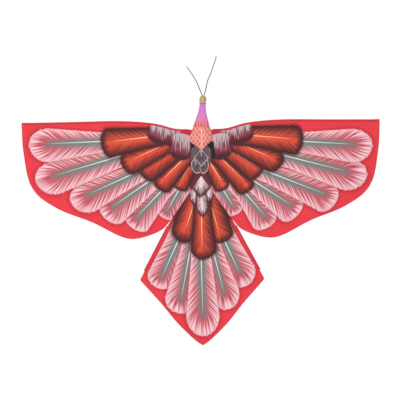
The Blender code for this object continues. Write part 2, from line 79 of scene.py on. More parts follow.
# %% [markdown]
# ## Camera, light and floor
#
# A long lens far away keeps a flat object flat: its far edges are drawn almost as large as
# its near ones. The camera faces the middle of the cloth and is rolled by under a degree,
# because a kite on a hook never hangs quite level. The world is white, so that it lights the
# cloth from all sides, and one large lamp from the upper left gives the folds their shade.

# %% Camera
scene = bpy.context.scene
CAMERA_DISTANCE = 8.0
VIEW_WIDTH = 1.678
SENSOR_WIDTH = 36.0
camera_data = bpy.data.cameras.new("camera")
camera_data.sensor_width = SENSOR_WIDTH
camera_data.lens = SENSOR_WIDTH * CAMERA_DISTANCE / VIEW_WIDTH
camera = bpy.data.objects.new("camera", camera_data)
scene.collection.objects.link(camera)
camera.matrix_world = (
    Matrix.Translation((-0.006, -CAMERA_DISTANCE, -0.247))
    @ Matrix.Rotation(math.radians(90), 4, "X")
    @ Matrix.Rotation(math.radians(-0.6), 4, "Z")
)
scene.camera = camera
scene.view_settings.view_transform = "Standard"
print("lens", round(camera_data.lens), "mm")


# %% [markdown]
# ## Helpers: colour, nodes and objects
#
# Paint colours are easiest to pick as the hex values a screen shows. Blender's sockets want
# linear light, so one function turns the first into the second. A second small function adds
# a node, sets its options and joins its inputs, which keeps a long chain of nodes readable.
# Short names for the commonest nodes follow: a sum, a slope, a coat of paint and a surface.


# %% Colour and node helpers
def paint(code):
    """A screen colour such as 'ee4048' as linear red, green, blue and alpha."""
    shades = [int(code[i : i + 2], 16) / 255 for i in (0, 2, 4)]
    return (*[s / 12.92 if s <= 0.04045 else ((s + 0.055) / 1.055) ** 2.4 for s in shades], 1.0)


def add(tree, kind, sockets=None, **settings):
    """Adds a node. A socket's value may be a number, another node's output or the node itself."""
    made = tree.nodes.new(kind)
    for name, value in settings.items():
        setattr(made, name, value)
    for key, value in (sockets or {}).items():
        if isinstance(value, bpy.types.Node):
            value = value.outputs[0]
        if isinstance(value, bpy.types.NodeSocket):
            tree.links.new(value, made.inputs[key])
        else:
            made.inputs[key].default_value = value
    return made


def calc(tree, operation, *values, **settings):
    """A Math node on these values."""
    return add(tree, "ShaderNodeMath", dict(enumerate(values)), operation=operation, **settings)


def slope(tree, value, low, high, top=1.0, **settings):
    """0 where the value is low, top where it is high, and a straight line in between."""
    return add(tree, "ShaderNodeMapRange", {0: value, 1: low, 2: high, 4: top}, **settings)


def ease(tree, value, low, high, top=1.0):
    """The same as slope, but it starts and ends gently."""
    return slope(tree, value, low, high, top, interpolation_type="SMOOTHSTEP")


def coat(tree, share, below, above):
    """The colour below with this share of the colour above laid over it."""
    return add(tree, "ShaderNodeMix", {0: share, 6: below, 7: above}, data_type="RGBA").outputs[2]


def colour_ramp(tree, value, first, last, *between):
    """The colour at a value on a ramp. Each stop is a place from 0 to 1 and a screen colour."""
    made = add(tree, "ShaderNodeValToRGB", {0: value})
    stops = made.color_ramp.elements
    for stop, (position, code) in zip(stops, (first, last)):
        stop.position, stop.color = position, paint(code)
    for position, code in between:
        stops.new(position).color = paint(code)
    return made.outputs[0]


def surface(tree, shader, colour, relief=None, strength=0.0, depth=0.0):
    """Gives a shader its colour and, if there is a relief, bumps this deep in metres."""
    tree.links.new(colour, shader.inputs["Base Color"])
    if relief is not None:
        bump = add(tree, "ShaderNodeBump", {"Height": relief, "Strength": strength, "Distance": depth})
        tree.links.new(bump.outputs[0], shader.inputs["Normal"])


def object_place(tree):
    """Where a spot is on the model, in metres."""
    return add(tree, "ShaderNodeTexCoord").outputs["Object"]


def new_material(name, **sockets):
    """An empty Principled material with these values set on the shader itself."""
    made = bpy.data.materials.new(name)
    made.use_nodes = True
    shader = made.node_tree.nodes["Principled BSDF"]
    for key, value in sockets.items():
        shader.inputs[key.replace("_", " ")].default_value = value
    return made, made.node_tree, shader


def object_from(bm, name, smooth=False):
    """Turns a bmesh into an object of the scene, and frees the bmesh."""
    mesh = bpy.data.meshes.new(name)
    bm.to_mesh(mesh)
    bm.free()
    if smooth:
        for face in mesh.polygons:
            face.use_smooth = True
    obj = bpy.data.objects.new(name, mesh)
    scene.collection.objects.link(obj)
    return obj


# %% Light and floor
SHADE_LIGHT = 0.71
FLOOR_DROP = 0.45
world = bpy.data.worlds.new("white_room")
world.use_nodes = True
background = world.node_tree.nodes["Background"]
seen = add(world.node_tree, "ShaderNodeLightPath")
camera_ray = seen.outputs["Is Camera Ray"]
strength = add(world.node_tree, "ShaderNodeMapRange", {0: camera_ray, 3: SHADE_LIGHT})
world.node_tree.links.new(strength.outputs[0], background.inputs["Strength"])
background.inputs["Color"].default_value = (1.0, 1.0, 1.0, 1.0)
scene.world = world

LAMP_PLACE = Vector((-0.9, -3.5, 0.5))
lamp_data = bpy.data.lights.new("soft_lamp", "AREA")
lamp_data.shape = "DISK"
lamp_data.size = 1.8
lamp_data.energy = 48.0
lamp = bpy.data.objects.new("soft_lamp", lamp_data)
scene.collection.objects.link(lamp)
lamp.location = LAMP_PLACE
lamp.rotation_euler = (-LAMP_PLACE + Vector((0, 0, -0.25))).to_track_quat("-Z", "Y").to_euler()

floor_height = cad_box[0][2] - FLOOR_DROP
bm = bmesh.new()
bmesh.ops.create_grid(bm, x_segments=1, y_segments=1, size=1.0)
bmesh.ops.translate(bm, verts=bm.verts, vec=(0.0, 0.0, floor_height))
floor = object_from(bm, "floor")
floor_paint, _, _ = new_material("matt_white_floor", Base_Color=paint("f2f2f0"), Roughness=0.9)
floor.data.materials.append(floor_paint)
print("floor at", round(floor_height, 2))


# %% [markdown]
# ## One painted feather, as a node group
#
# Every feather on the kite is painted with the same strokes: a thin quill, a shade beside it,
# barbs that leave it at a slant and spread out round the tip, and a rim. So one group draws a
# feather, and each feather on the cloth is one use of it. The group works in the feather's own
# directions, with x along the quill and y across it. It measures how far out a spot is, as 0 on
# the quill and 1 on the outline, and it lays its colour over whatever was painted before.

# %% The feather group: where a spot is on the feather
SHADOW_REACH = 1.30
SHAPE = ["Quill length", "Tip length", "Hidden length", "Upper width", "Seed"]
VANE = ["Lower width", "Narrowing", "Bend", "Pointed", "Root spread", "Upper shade", "Shadow"]
STROKES = ["Stroke gap", "Stroke strength", "Stroke start", "Stroke full"]
EDGES = ["Rim start", "Tip rim start", "Rim strength", "Quill width"]
COLOURS = ["Near", "Far", "Stroke", "Rim", "Quill", "Shade"]


def new_group(name, numbers, colours=()):
    """A node group that takes the paint below and a spot, and gives the colour painted there."""
    made = bpy.data.node_groups.new(name, "ShaderNodeTree")
    kinds = [("Under", "Color"), ("Spot", "Vector")]
    kinds += [(number, "Float") for number in numbers] + [(colour, "Color") for colour in colours]
    for socket, kind in kinds:
        made.interface.new_socket(socket, in_out="INPUT", socket_type=f"NodeSocket{kind}")
    made.interface.new_socket("Painted", in_out="OUTPUT", socket_type="NodeSocketColor")
    return made


feather = new_group("painted_feather", SHAPE + VANE + STROKES + EDGES, COLOURS)
g = feather
given = add(g, "NodeGroupInput").outputs
spot = add(g, "ShaderNodeSeparateXYZ", {0: given["Spot"]})
along = spot.outputs[0]
bow = calc(g, "MULTIPLY", along, along)
bow = calc(g, "MULTIPLY", bow, given["Bend"])
across = calc(g, "SUBTRACT", spot.outputs[1], bow)
side = calc(g, "GREATER_THAN", across, 0.0)
out = calc(g, "ABSOLUTE", across)
width = add(g, "ShaderNodeMix", {0: side, 2: given["Lower width"], 3: given["Upper width"]})
grown = calc(g, "DIVIDE", along, given["Quill length"], use_clamp=True)
short_way = calc(g, "SUBTRACT", 1.0, grown)
short = calc(g, "MULTIPLY", short_way, given["Narrowing"])
share = calc(g, "SUBTRACT", 1.0, short)
width = calc(g, "MULTIPLY", width, share)
past_tip = calc(g, "SUBTRACT", along, given["Quill length"])
past_root = calc(g, "ADD", along, given["Hidden length"])
past_root = calc(g, "MULTIPLY", past_root, -1.0)
past = calc(g, "MAXIMUM", past_tip, past_root)
past = calc(g, "MAXIMUM", past, 0.0)
end_share = calc(g, "DIVIDE", past, given["Tip length"])
side_share = calc(g, "DIVIDE", out, width)
shares = add(g, "ShaderNodeCombineXYZ", {0: end_share, 1: side_share})
round_reach = add(g, "ShaderNodeVectorMath", {0: shares}, operation="LENGTH").outputs[1]
sharp_reach = calc(g, "ADD", end_share, side_share)
reach = add(g, "ShaderNodeMix", {0: given["Pointed"], 2: round_reach, 3: sharp_reach})
print("feather group:", len(g.nodes), "nodes so far")

# %% [markdown]
# The barbs need their own coordinate. Along the quill they are slanted lines, so the
# coordinate is the distance along minus the distance out. Past the quill's end they fan out
# like rays, so the distance out shrinks as the ray gets longer. A noise texture read along
# that coordinate gives strokes that are as uneven as brushwork.

# %% The feather group: barbs
SLANT = 1.15
ray_length = calc(g, "MULTIPLY", width, SLANT)
ray = calc(g, "ADD", past, ray_length)
spread = calc(g, "DIVIDE", ray_length, ray)
out_shrunk = calc(g, "MULTIPLY", out, spread)
out_shrunk = calc(g, "MULTIPLY", out_shrunk, SLANT)
before_tip = calc(g, "MINIMUM", along, given["Quill length"])
barb = calc(g, "SUBTRACT", before_tip, out_shrunk)
barb = calc(g, "DIVIDE", barb, given["Stroke gap"])
lane = calc(g, "MULTIPLY_ADD", side, 7.3, given["Seed"])
brush_place = calc(g, "MULTIPLY_ADD", lane, 41.3, barb)
brush = add(
    g,
    "ShaderNodeTexNoise",
    {"W": brush_place, "Scale": 1.0, "Detail": 1.5, "Roughness": 0.6},
    noise_dimensions="1D",
)
stroke = ease(g, brush.outputs[0], 0.44, 0.58)
ragged = calc(g, "SUBTRACT", brush.outputs[0], 0.5)
smooth_reach = reach.outputs[0]
reach = calc(g, "MULTIPLY_ADD", ragged, 0.16, smooth_reach)
print("feather group:", len(g.nodes), "nodes so far")

# %% [markdown]
# Now the coats of paint, in the order a painter lays them: the shade that the feather casts
# on the ones under it, the ground colour that changes from the quill outwards, the barb
# strokes, the rim, and last the quill in one thin line that fades towards its end.

# %% The feather group: coats of paint
inside = ease(g, reach, 1.03, 0.97)
shade_amount = ease(g, reach, SHADOW_REACH, 1.0, given["Shadow"])
shaded = coat(g, shade_amount, given["Under"], given["Shade"])
root_spread = calc(g, "MULTIPLY", short_way, given["Root spread"])
ground_place = calc(g, "MULTIPLY_ADD", ragged, 0.9, smooth_reach)
ground_place = calc(g, "SUBTRACT", ground_place, root_spread)
ground_amount = ease(g, ground_place, 0.02, 0.36)
ground = coat(g, ground_amount, given["Near"], given["Far"])
upper = calc(g, "MULTIPLY", side, given["Upper shade"])
ground = coat(g, upper, ground, given["Shade"])
stroke_place = ease(g, reach, given["Stroke start"], given["Stroke full"], given["Stroke strength"])
stroke_amount = calc(g, "MULTIPLY", stroke, stroke_place)
barbed = coat(g, stroke_amount, ground, given["Stroke"])
tip_share = ease(g, end_share, 0.0, 0.55)
rim_start = add(g, "ShaderNodeMix", {0: tip_share, 2: given["Rim start"], 3: given["Tip rim start"]})
rim_amount = ease(g, reach, rim_start, 1.0, given["Rim strength"])
rimmed = coat(g, rim_amount, barbed, given["Rim"])
thin = calc(g, "SUBTRACT", 1.15, grown)
quill_width = calc(g, "MULTIPLY", given["Quill width"], thin)
quill_share = calc(g, "DIVIDE", out, quill_width)
quill_core = ease(g, quill_share, 1.3, 0.6)
quill_on = slope(g, past_tip, 0.004, -0.03)
quill_amount = calc(g, "MULTIPLY", quill_core, quill_on)
quilled = coat(g, quill_amount, rimmed, given["Quill"])
painted = coat(g, inside, shaded, quilled)
add(g, "NodeGroupOutput", {"Painted": painted})
print("feather group:", len(g.nodes), "nodes")

# %% [markdown]
# The shoulder is a band of rounded lobes with brush strokes that run down them side by side.
# They start nearly white at the top edge and thin out downwards, over a ground that changes
# from purple-brown to crimson and ends in a dark rim. A second, smaller group paints one lobe.

# %% The lobe group
lobe = new_group("painted_lobe", SHAPE)
g = lobe
given = add(g, "NodeGroupInput").outputs
spot = add(g, "ShaderNodeSeparateXYZ", {0: given["Spot"]})
past_end = calc(g, "SUBTRACT", spot.outputs[0], given["Quill length"])
end_share = calc(g, "DIVIDE", past_end, given["Tip length"])
top_share = calc(g, "DIVIDE", spot.outputs[0], given["Hidden length"])
top_share = calc(g, "MULTIPLY", top_share, -1.0)
end_share = calc(g, "MAXIMUM", end_share, top_share)
end_share = calc(g, "MAXIMUM", end_share, 0.0)
side_share = calc(g, "DIVIDE", spot.outputs[1], given["Upper width"])
shares = add(g, "ShaderNodeCombineXYZ", {0: end_share, 1: side_share})
reach = add(g, "ShaderNodeVectorMath", {0: shares}, operation="LENGTH").outputs[1]
tall = calc(g, "ADD", given["Quill length"], given["Tip length"])
down = calc(g, "ADD", spot.outputs[0], given["Hidden length"])
down = calc(g, "DIVIDE", down, tall)
sideways = calc(g, "MULTIPLY_ADD", spot.outputs[0], 0.25, spot.outputs[1])
brush_place = add(g, "ShaderNodeCombineXYZ", {0: sideways, 1: given["Seed"], 2: spot.outputs[0]})
brush_place = add(g, "ShaderNodeMapping", {"Vector": brush_place, "Scale": (230.0, 1.0, 20.0)})
brush = add(g, "ShaderNodeTexNoise", {"Vector": brush_place, "Scale": 1.0, "Detail": 1.0}).outputs[0]
ground = colour_ramp(g, down, (0.15, "5d4a52"), (0.98, "4e2a30"), (0.45, "784454"), (0.74, "94384a"))
fade = calc(g, "MULTIPLY_ADD", down, -0.60, brush)
streak = ease(g, fade, 0.10, 0.34, 0.82)
streaked = coat(g, streak, ground, paint("d9bcc2"))
rim_on = slope(g, down, 0.25, 0.6)
rim = ease(g, reach, 0.66, 1.0, rim_on)
rimmed = coat(g, rim, streaked, paint("4c2c30"))
shade = ease(g, reach, 1.25, 1.0, 0.6)
shade_on = calc(g, "MULTIPLY", shade, rim_on)
shaded = coat(g, shade_on, given["Under"], paint("5a2a2c"))
inside = ease(g, reach, 1.03, 0.97)
done = coat(g, inside, shaded, rimmed)
add(g, "NodeGroupOutput", {"Painted": done})
print("lobe group:", len(g.nodes), "nodes")

# %% [markdown]
# ## The kinds of feather
#
# A few kinds of brushwork cover the cloth. Long pale feathers have a grey shade by the quill
# and pink-white barbs. Covert feathers, which cover their roots, are orange with a soft dark
# rim. The belly has small grey scales with a cream outline, with down feathers below them.

# %% Brushwork for each kind
PALE = {
    "Stroke gap": 0.0098,
    "Stroke strength": 0.92,
    "Stroke start": 0.12,
    "Stroke full": 0.85,
    "Rim start": 0.62,
    "Tip rim start": 0.40,
    "Rim strength": 0.62,
    "Quill width": 0.0022,
    "Shadow": 0.55,
    "Narrowing": 0.40,
    "Root spread": 0.30,
    "Upper shade": 0.0,
    "Near": paint("7c807e"),
    "Far": paint("c8485a"),
    "Stroke": paint("fcdde1"),
    "Rim": paint("fac8d0"),
    "Quill": paint("e2e8e4"),
    "Shade": paint("b02c3a"),
}
COVERT = {
    "Stroke gap": 0.0105,
    "Stroke strength": 0.55,
    "Stroke start": -0.1,
    "Stroke full": 0.25,
    "Rim start": 0.16,
    "Tip rim start": -0.05,
    "Rim strength": 1.0,
    "Quill width": 0.0024,
    "Shadow": 0.7,
    "Narrowing": 0.30,
    "Root spread": 0.10,
    "Upper shade": 0.38,
    "Near": paint("e84c38"),
    "Far": paint("b43230"),
    "Stroke": paint("f4744e"),
    "Rim": paint("45282b"),
    "Quill": paint("fdbd94"),
    "Shade": paint("5a2a2c"),
}
BELLY = {
    "Stroke gap": 0.0050,
    "Stroke strength": 0.6,
    "Stroke start": 0.0,
    "Stroke full": 0.6,
    "Rim start": 0.84,
    "Tip rim start": 0.84,
    "Rim strength": 1.0,
    "Quill width": 0.0018,
    "Shadow": 0.6,
    "Narrowing": 0.0,
    "Root spread": 0.0,
    "Upper shade": 0.0,
    "Near": paint("3e3e46"),
    "Far": paint("5a464e"),
    "Stroke": paint("8a7680"),
    "Rim": paint("f4d2bc"),
    "Quill": paint("c4d2d8"),
    "Shade": paint("4a2a2c"),
}
DOWN = {
    **BELLY,
    "Stroke gap": 0.0060,
    "Stroke strength": 0.9,
    "Stroke start": -0.1,
    "Stroke full": 0.2,
    "Rim start": 0.62,
    "Tip rim start": 0.50,
    "Shadow": 0.8,
    "Near": paint("f2dcdf"),
    "Far": paint("8a5a64"),
    "Stroke": paint("e6c4cb"),
    "Rim": paint("4a2a30"),
    "Quill": paint("f2dcdf"),
    "Shade": paint("4a2428"),
}
DARK = {
    **BELLY,
    "Rim start": 0.7,
    "Near": paint("0f1a14"),
    "Far": paint("14241a"),
    "Stroke": paint("3a3a30"),
    "Rim": paint("241c18"),
    "Quill": paint("0f1a14"),
}
CRIMSON = {
    **BELLY,
    "Stroke strength": 0.15,
    "Rim strength": 0.0,
    "Shadow": 0.0,
    "Near": paint("cb2c40"),
    "Far": paint("c42c3e"),
    "Quill": paint("cb2c40"),
}
UNDERLAY = {**CRIMSON, "Near": paint("6a2c34"), "Far": paint("6a2c34"), "Quill": paint("6a2c34")}
print("kinds of brushwork:", 7)


# %% [markdown]
# ## Where each feather lies
#
# A feather is placed by the two ends of its quill, in metres from the tow point, and by how
# far it runs on past the quill and to each side of it. The lists run in painting order, so a
# later feather lies on top. The painter's two wings match but are not copies, so each wing has
# its own list.


# %% Places of the feathers
def plume(kind, root, end, tip, upper, lower, hidden=0.05, **changes):
    """One feather: the ends of its quill, its length past the quill and its width to each side."""
    return {"kind": kind, "root": root, "end": end, "tip": tip, "upper": upper, "lower": lower,
            "hidden": hidden, "changes": changes}


WING_LEFT = [
    plume(UNDERLAY, (-0.016, -0.110), (-0.052, -0.205), 0.040, 0.036, 0.030, hidden=0.02),
    plume(PALE, (-0.097, -0.206), (-0.149, -0.296), 0.027, 0.044, 0.054, hidden=0.015, Narrowing=0.12),
    plume(PALE, (-0.172, -0.210), (-0.278, -0.318), 0.041, 0.046, 0.072),
    plume(PALE, (-0.225, -0.169), (-0.376, -0.271), 0.053, 0.050, 0.078),
    plume(PALE, (-0.280, -0.131), (-0.472, -0.216), 0.082, 0.056, 0.076),
    plume(PALE, (-0.357, -0.064), (-0.610, -0.136), 0.087, 0.062, 0.079),
    plume(PALE, (-0.423, 0.003), (-0.639, -0.004), 0.081, 0.064, 0.077),
    plume(COVERT, (-0.042, -0.089), (-0.096, -0.179), 0.021, 0.024, 0.046),
    plume(COVERT, (-0.081, -0.080), (-0.171, -0.167), 0.030, 0.026, 0.056),
    plume(COVERT, (-0.121, -0.042), (-0.232, -0.107), 0.034, 0.028, 0.066),
    plume(COVERT, (-0.139, -0.007), (-0.301, -0.079), 0.036, 0.040, 0.060),
    plume(COVERT, (-0.222, 0.020), (-0.383, 0.002), 0.036, 0.056, 0.066),
]
WING_RIGHT = [
    plume(UNDERLAY, (0.016, -0.110), (0.052, -0.205), 0.040, 0.036, 0.030, hidden=0.02),
    plume(PALE, (0.091, -0.203), (0.138, -0.279), 0.030, 0.044, 0.056, hidden=0.015, Narrowing=0.12),
    plume(PALE, (0.185, -0.218), (0.271, -0.319), 0.041, 0.046, 0.070),
    plume(PALE, (0.228, -0.173), (0.379, -0.272), 0.044, 0.050, 0.076),
    plume(PALE, (0.295, -0.137), (0.519, -0.226), 0.055, 0.056, 0.076),
    plume(PALE, (0.377, -0.071), (0.606, -0.131), 0.091, 0.062, 0.079),
    plume(PALE, (0.421, -0.005), (0.634, -0.019), 0.085, 0.064, 0.077),
    plume(COVERT, (0.039, -0.090), (0.094, -0.182), 0.021, 0.024, 0.046),
    plume(COVERT, (0.093, -0.080), (0.193, -0.178), 0.030, 0.026, 0.056),
    plume(COVERT, (0.131, -0.043), (0.232, -0.109), 0.032, 0.028, 0.066),
    plume(COVERT, (0.153, -0.009), (0.302, -0.073), 0.046, 0.040, 0.060),
    plume(COVERT, (0.207, 0.022), (0.394, 0.006), 0.035, 0.056, 0.066),
]
SHOULDER_LEFT = [
    plume(CRIMSON, (-0.070, 0.070), (-0.066, 0.030), 0.016, 0.040, 0.040, hidden=0.0),
    plume("lobe", (-0.122, 0.052), (-0.124, 0.010), 0.030, 0.040, 0.040, hidden=0.016),
    plume("lobe", (-0.070, 0.014), (-0.086, -0.042), 0.036, 0.046, 0.046, hidden=0.016),
    plume("lobe", (-0.168, 0.050), (-0.182, 0.018), 0.026, 0.044, 0.044, hidden=0.016),
    plume(DARK, (-0.035, -0.014), (-0.034, -0.058), 0.018, 0.009, 0.009, hidden=0.002),
]
SHOULDER_RIGHT = [
    plume(CRIMSON, (0.070, 0.070), (0.066, 0.030), 0.016, 0.040, 0.040, hidden=0.0),
    plume("lobe", (0.122, 0.052), (0.124, 0.010), 0.030, 0.040, 0.040, hidden=0.016),
    plume("lobe", (0.070, 0.014), (0.084, -0.042), 0.036, 0.046, 0.046, hidden=0.016),
    plume("lobe", (0.166, 0.050), (0.178, 0.018), 0.026, 0.044, 0.044, hidden=0.016),
    plume(DARK, (0.041, -0.018), (0.047, -0.056), 0.020, 0.014, 0.014, hidden=0.002),
]
BELLY_SCALES = [
    plume(BELLY, (0.0, -0.045), (0.0, -0.080), 0.030, 0.042, 0.042, hidden=0.0, **{"Rim strength": 0.0}),
    plume(BELLY, (-0.021, -0.103), (-0.020, -0.107), 0.029, 0.020, 0.020, hidden=0.0),
    plume(BELLY, (0.014, -0.103), (0.013, -0.108), 0.029, 0.018, 0.018, hidden=0.0),
    plume(BELLY, (0.001, -0.068), (0.001, -0.071), 0.036, 0.031, 0.031, hidden=0.0, Pointed=1.0),
]
TAIL = [
    plume(PALE, (-0.103, -0.424), (-0.171, -0.571), 0.046, 0.056, 0.060, Narrowing=0.15),
    plume(PALE, (0.098, -0.425), (0.156, -0.552), 0.064, 0.068, 0.056, Narrowing=0.20),
    plume(PALE, (-0.051, -0.462), (-0.090, -0.661), 0.060, 0.058, 0.066),
    plume(PALE, (0.047, -0.462), (0.091, -0.635), 0.073, 0.063, 0.058),
    plume(PALE, (-0.004, -0.491), (0.001, -0.730), 0.088, 0.070, 0.070),
    plume(UNDERLAY, (0.0, -0.120), (0.0, -0.305), 0.050, 0.138, 0.138, hidden=0.010, Narrowing=0.95),
    plume(COVERT, (-0.034, -0.268), (-0.068, -0.372), 0.054, 0.048, 0.058, hidden=0.10, Narrowing=0.15),
    plume(COVERT, (0.039, -0.264), (0.075, -0.393), 0.034, 0.058, 0.048, hidden=0.10, Narrowing=0.15),
    plume(COVERT, (0.000, -0.312), (0.001, -0.456), 0.042, 0.062, 0.049, hidden=0.10, Pointed=0.30),
    plume(DOWN, (-0.031, -0.205), (-0.029, -0.236), 0.030, 0.021, 0.021, hidden=0.010, Pointed=0.4),
    plume(DOWN, (0.034, -0.200), (0.030, -0.228), 0.030, 0.020, 0.020, hidden=0.010, Pointed=0.4),
    plume(DOWN, (0.001, -0.248), (0.003, -0.280), 0.036, 0.024, 0.024, hidden=0.010, Pointed=0.4),
    plume(DOWN, (0.000, -0.148), (-0.002, -0.186), 0.048, 0.044, 0.044, hidden=0.010, Pointed=0.8),
]
print("feathers:", len(WING_LEFT + WING_RIGHT + SHOULDER_LEFT + SHOULDER_RIGHT + BELLY_SCALES + TAIL))


# %% [markdown]
# ## Painting a panel
#
# A panel's paint is a chain: plain red cloth goes in, and each feather lays its strokes over
# it. The chain reads the panel's UV map, which holds flat cloth coordinates in metres, so
# the paint stays on the cloth when a wing folds. A Mapping node turns those coordinates into
# the feather's own. On the left wing it also turns them over, so that each feather's first
# width is always on the side towards the leading edge. A renderer has little memory for one
# material, and past some 22 feathers it would draw black cloth, so a panel stays below that.


# %% Chain of feathers
def paint_panel(name, feathers, mirror):
    """A node group that turns a place on the cloth into the colour painted there."""
    tree = bpy.data.node_groups.new(name, "ShaderNodeTree")
    tree.interface.new_socket("Cloth", in_out="INPUT", socket_type="NodeSocketVector")
    tree.interface.new_socket("Red", in_out="INPUT", socket_type="NodeSocketColor")
    tree.interface.new_socket("Painted", in_out="OUTPUT", socket_type="NodeSocketColor")
    start = add(tree, "NodeGroupInput")
    below = start.outputs["Red"]
    for number, one in enumerate(feathers):
        root, end = Vector(one["root"]), Vector(one["end"])
        quill = end - root
        local = add(
            tree,
            "ShaderNodeMapping",
            {
                "Vector": start.outputs["Cloth"],
                "Location": (root.x, root.y, 0.0),
                "Rotation": (0.0, 0.0, math.atan2(quill.y, quill.x)),
                "Scale": (1.0, mirror, 1.0),
            },
            vector_type="TEXTURE",
        )
        is_lobe = one["kind"] == "lobe"
        style = {} if is_lobe else {**one["kind"], "Lower width": one["lower"]}
        sockets = {
            "Under": below,
            "Spot": local,
            "Quill length": quill.length,
            "Tip length": one["tip"],
            "Hidden length": one["hidden"],
            "Upper width": one["upper"],
            "Seed": 3.7 * number,
            **style,
            **one["changes"],
        }
        group = lobe if is_lobe else feather
        below = add(tree, "ShaderNodeGroup", sockets, node_tree=group).outputs["Painted"]
    add(tree, "NodeGroupOutput", {"Painted": below})
    return tree


PAINTINGS = {
    "left": paint_panel("plumage_left", WING_LEFT + SHOULDER_LEFT + BELLY_SCALES, -1.0),
    "right": paint_panel("plumage_right", WING_RIGHT + SHOULDER_RIGHT + BELLY_SCALES, 1.0),
    "tail": paint_panel("plumage_tail", TAIL, 1.0),
}
print("paintings:", {k: len(v.nodes) for k, v in PAINTINGS.items()})

# %% [markdown]
# ## The cloth: plain-woven nylon
#
# Kite nylon is a plain weave of very fine thread, dyed red in the piece. It is matt with a
# faint sheen at grazing angles. Its threads are about 0.1 mm apart, far too fine to show, so
# the weave is drawn at 1.2 mm. The back of the cloth gets the same painting, but fainter,
# because thin paint soaks only part of the way through.

# %% Nylon material
WEAVE_GAP = 0.0012
STITCH = 0.003


def nylon(name, painting, soak):
    """Painted woven nylon. soak is how much of the painting shows, from 0 to 1."""
    made, tree, shader = new_material(
        name, Roughness=0.8, Sheen_Weight=0.04, IOR=1.53, Specular_IOR_Level=0.15
    )
    flat = add(tree, "ShaderNodeUVMap", uv_map="cloth")
    blotch = add(tree, "ShaderNodeTexNoise", {"Vector": flat, "Scale": 9.0, "Detail": 3.0, "Roughness": 0.6})
    red = coat(tree, blotch.outputs[0], paint("f2444c"), paint("e03a46"))
    art = add(tree, "ShaderNodeGroup", {0: flat, 1: red}, node_tree=painting)
    border = add(tree, "ShaderNodeAttribute", attribute_name="edge").outputs["Fac"]
    # Darker red towards the cut edge: partly the doubled cloth, partly painted shade of the fold.
    folded = slope(tree, border, 0.34, 0.10, 0.75)
    soaked = coat(tree, soak, red, art.outputs[0])
    hem_doubled_and_shaded = coat(tree, folded, soaked, paint("b82c3a"))
    apart = calc(tree, "SUBTRACT", border, 0.75)
    apart = calc(tree, "ABSOLUTE", apart)
    stitched = slope(tree, apart, 0.12, 0.04, 0.5)
    gaps = add(tree, "ShaderNodeMapping", {"Vector": flat, "Scale": (1 / STITCH, 1 / STITCH, 1.0)})
    dashes = add(tree, "ShaderNodeTexChecker", {"Vector": gaps, "Scale": 1.0}).outputs[1]
    stitched = calc(tree, "MULTIPLY", stitched, dashes)
    sewn = coat(tree, stitched, hem_doubled_and_shaded, paint("8e2430"))
    weave = add(tree, "ShaderNodeMapping", {"Vector": flat, "Scale": (1 / WEAVE_GAP, 1 / WEAVE_GAP, 1.0)})
    checks = add(tree, "ShaderNodeTexChecker", {"Vector": weave, "Scale": 1.0})
    threads = add(tree, "ShaderNodeTexNoise", {"Vector": weave, "Scale": 0.8, "Detail": 2.0})
    relief = calc(tree, "ADD", checks.outputs[1], threads.outputs[0])
    surface(tree, shader, sewn, relief, 0.12, 0.0002)
    return made


NYLON = {
    part: (nylon(f"painted_nylon_{part}", art, 1.0), nylon(f"nylon_back_{part}", art, 0.45))
    for part, art in PAINTINGS.items()
}
print("nylon materials:", 2 * len(NYLON))


# %% [markdown]
# ## Cutting the three panels
#
# The cloth is cut as two wings and a tail and sewn together: the wings meet on the spine, and
# the tail's two upper edges run in a V up to the spine. The outlines come from the frame's own
# plates. A panel starts as one flat face. Cutting planes then turn it into a grid, which
# follows a crooked outline exactly and leaves even squares inside for the cloth to bend at.


# %% Outlines
def plate_outline(node):
    """The corner points (x, z) round the front face of a flat plate of the frame."""
    bm = bmesh.new()
    bm.from_mesh(nodes[node].data)
    bmesh.ops.remove_doubles(bm, verts=bm.verts, dist=1e-6)
    front = {face for face in bm.faces if face.normal.y < -0.9}
    rim = [edge for edge in bm.edges if sum(face in front for face in edge.link_faces) == 1]
    step = {}
    for edge in rim:
        face = next(f for f in edge.link_faces if f in front)
        loop = next(l for l in edge.link_loops if l.face is face)
        step[loop.vert] = loop.link_loop_next.vert
    walk = [next(iter(step))]
    while step[walk[-1]] is not walk[0]:
        walk.append(step[walk[-1]])
    points = [Vector((v.co.x, v.co.z)) for v in walk]
    bm.free()
    return points


def starting_at(points, first):
    """The same ring of points, turned so that the one nearest to first comes first."""
    nearest = min(range(len(points)), key=lambda i: (points[i] - first).length)
    return points[nearest:] + points[:nearest]


tail_ring = plate_outline("tail_sail")
tail_top_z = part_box("tail_sail")[1][2]
corner = max(tail_ring, key=lambda p: p.x)
notch = max((p for p in tail_ring if p.y > tail_top_z - 1e-4), key=lambda p: p.x)
APEX = Vector((0.0, -0.145))
SEAM_LAP = Vector((0.0, 0.005))
SLEEVE_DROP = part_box("leading_sleeve_right")[1][2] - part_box("wing_sail_right")[1][2]
HEM_RADIUS = SLEEVE_DROP / 2
print("tail panel's point at", tuple(round(v, 3) for v in APEX), "hem radius", round(HEM_RADIUS, 4))


# %% Wing outline and leading edge
def wing_outline(side_name):
    """The wing panel's ring: down the leading edge, back by the notch, and up to the spine."""
    way = SIDES[side_name]
    ring = plate_outline(f"wing_sail_{side_name}")
    turning = sum(a.cross(b) for a, b in zip(ring, ring[1:] + ring[:1]))
    if turning * way > 0:
        ring.reverse()
    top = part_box("centre_sail")[1][2]
    ring = starting_at(ring, Vector((0.0, top)))
    raised = [Vector((p.x, p.y + HEM_RADIUS)) if p.y > 0.035 else p for p in ring[:-1]]
    return [Vector((0.0, top)), *raised, Vector((way * notch.x, notch.y)), APEX - SEAM_LAP]


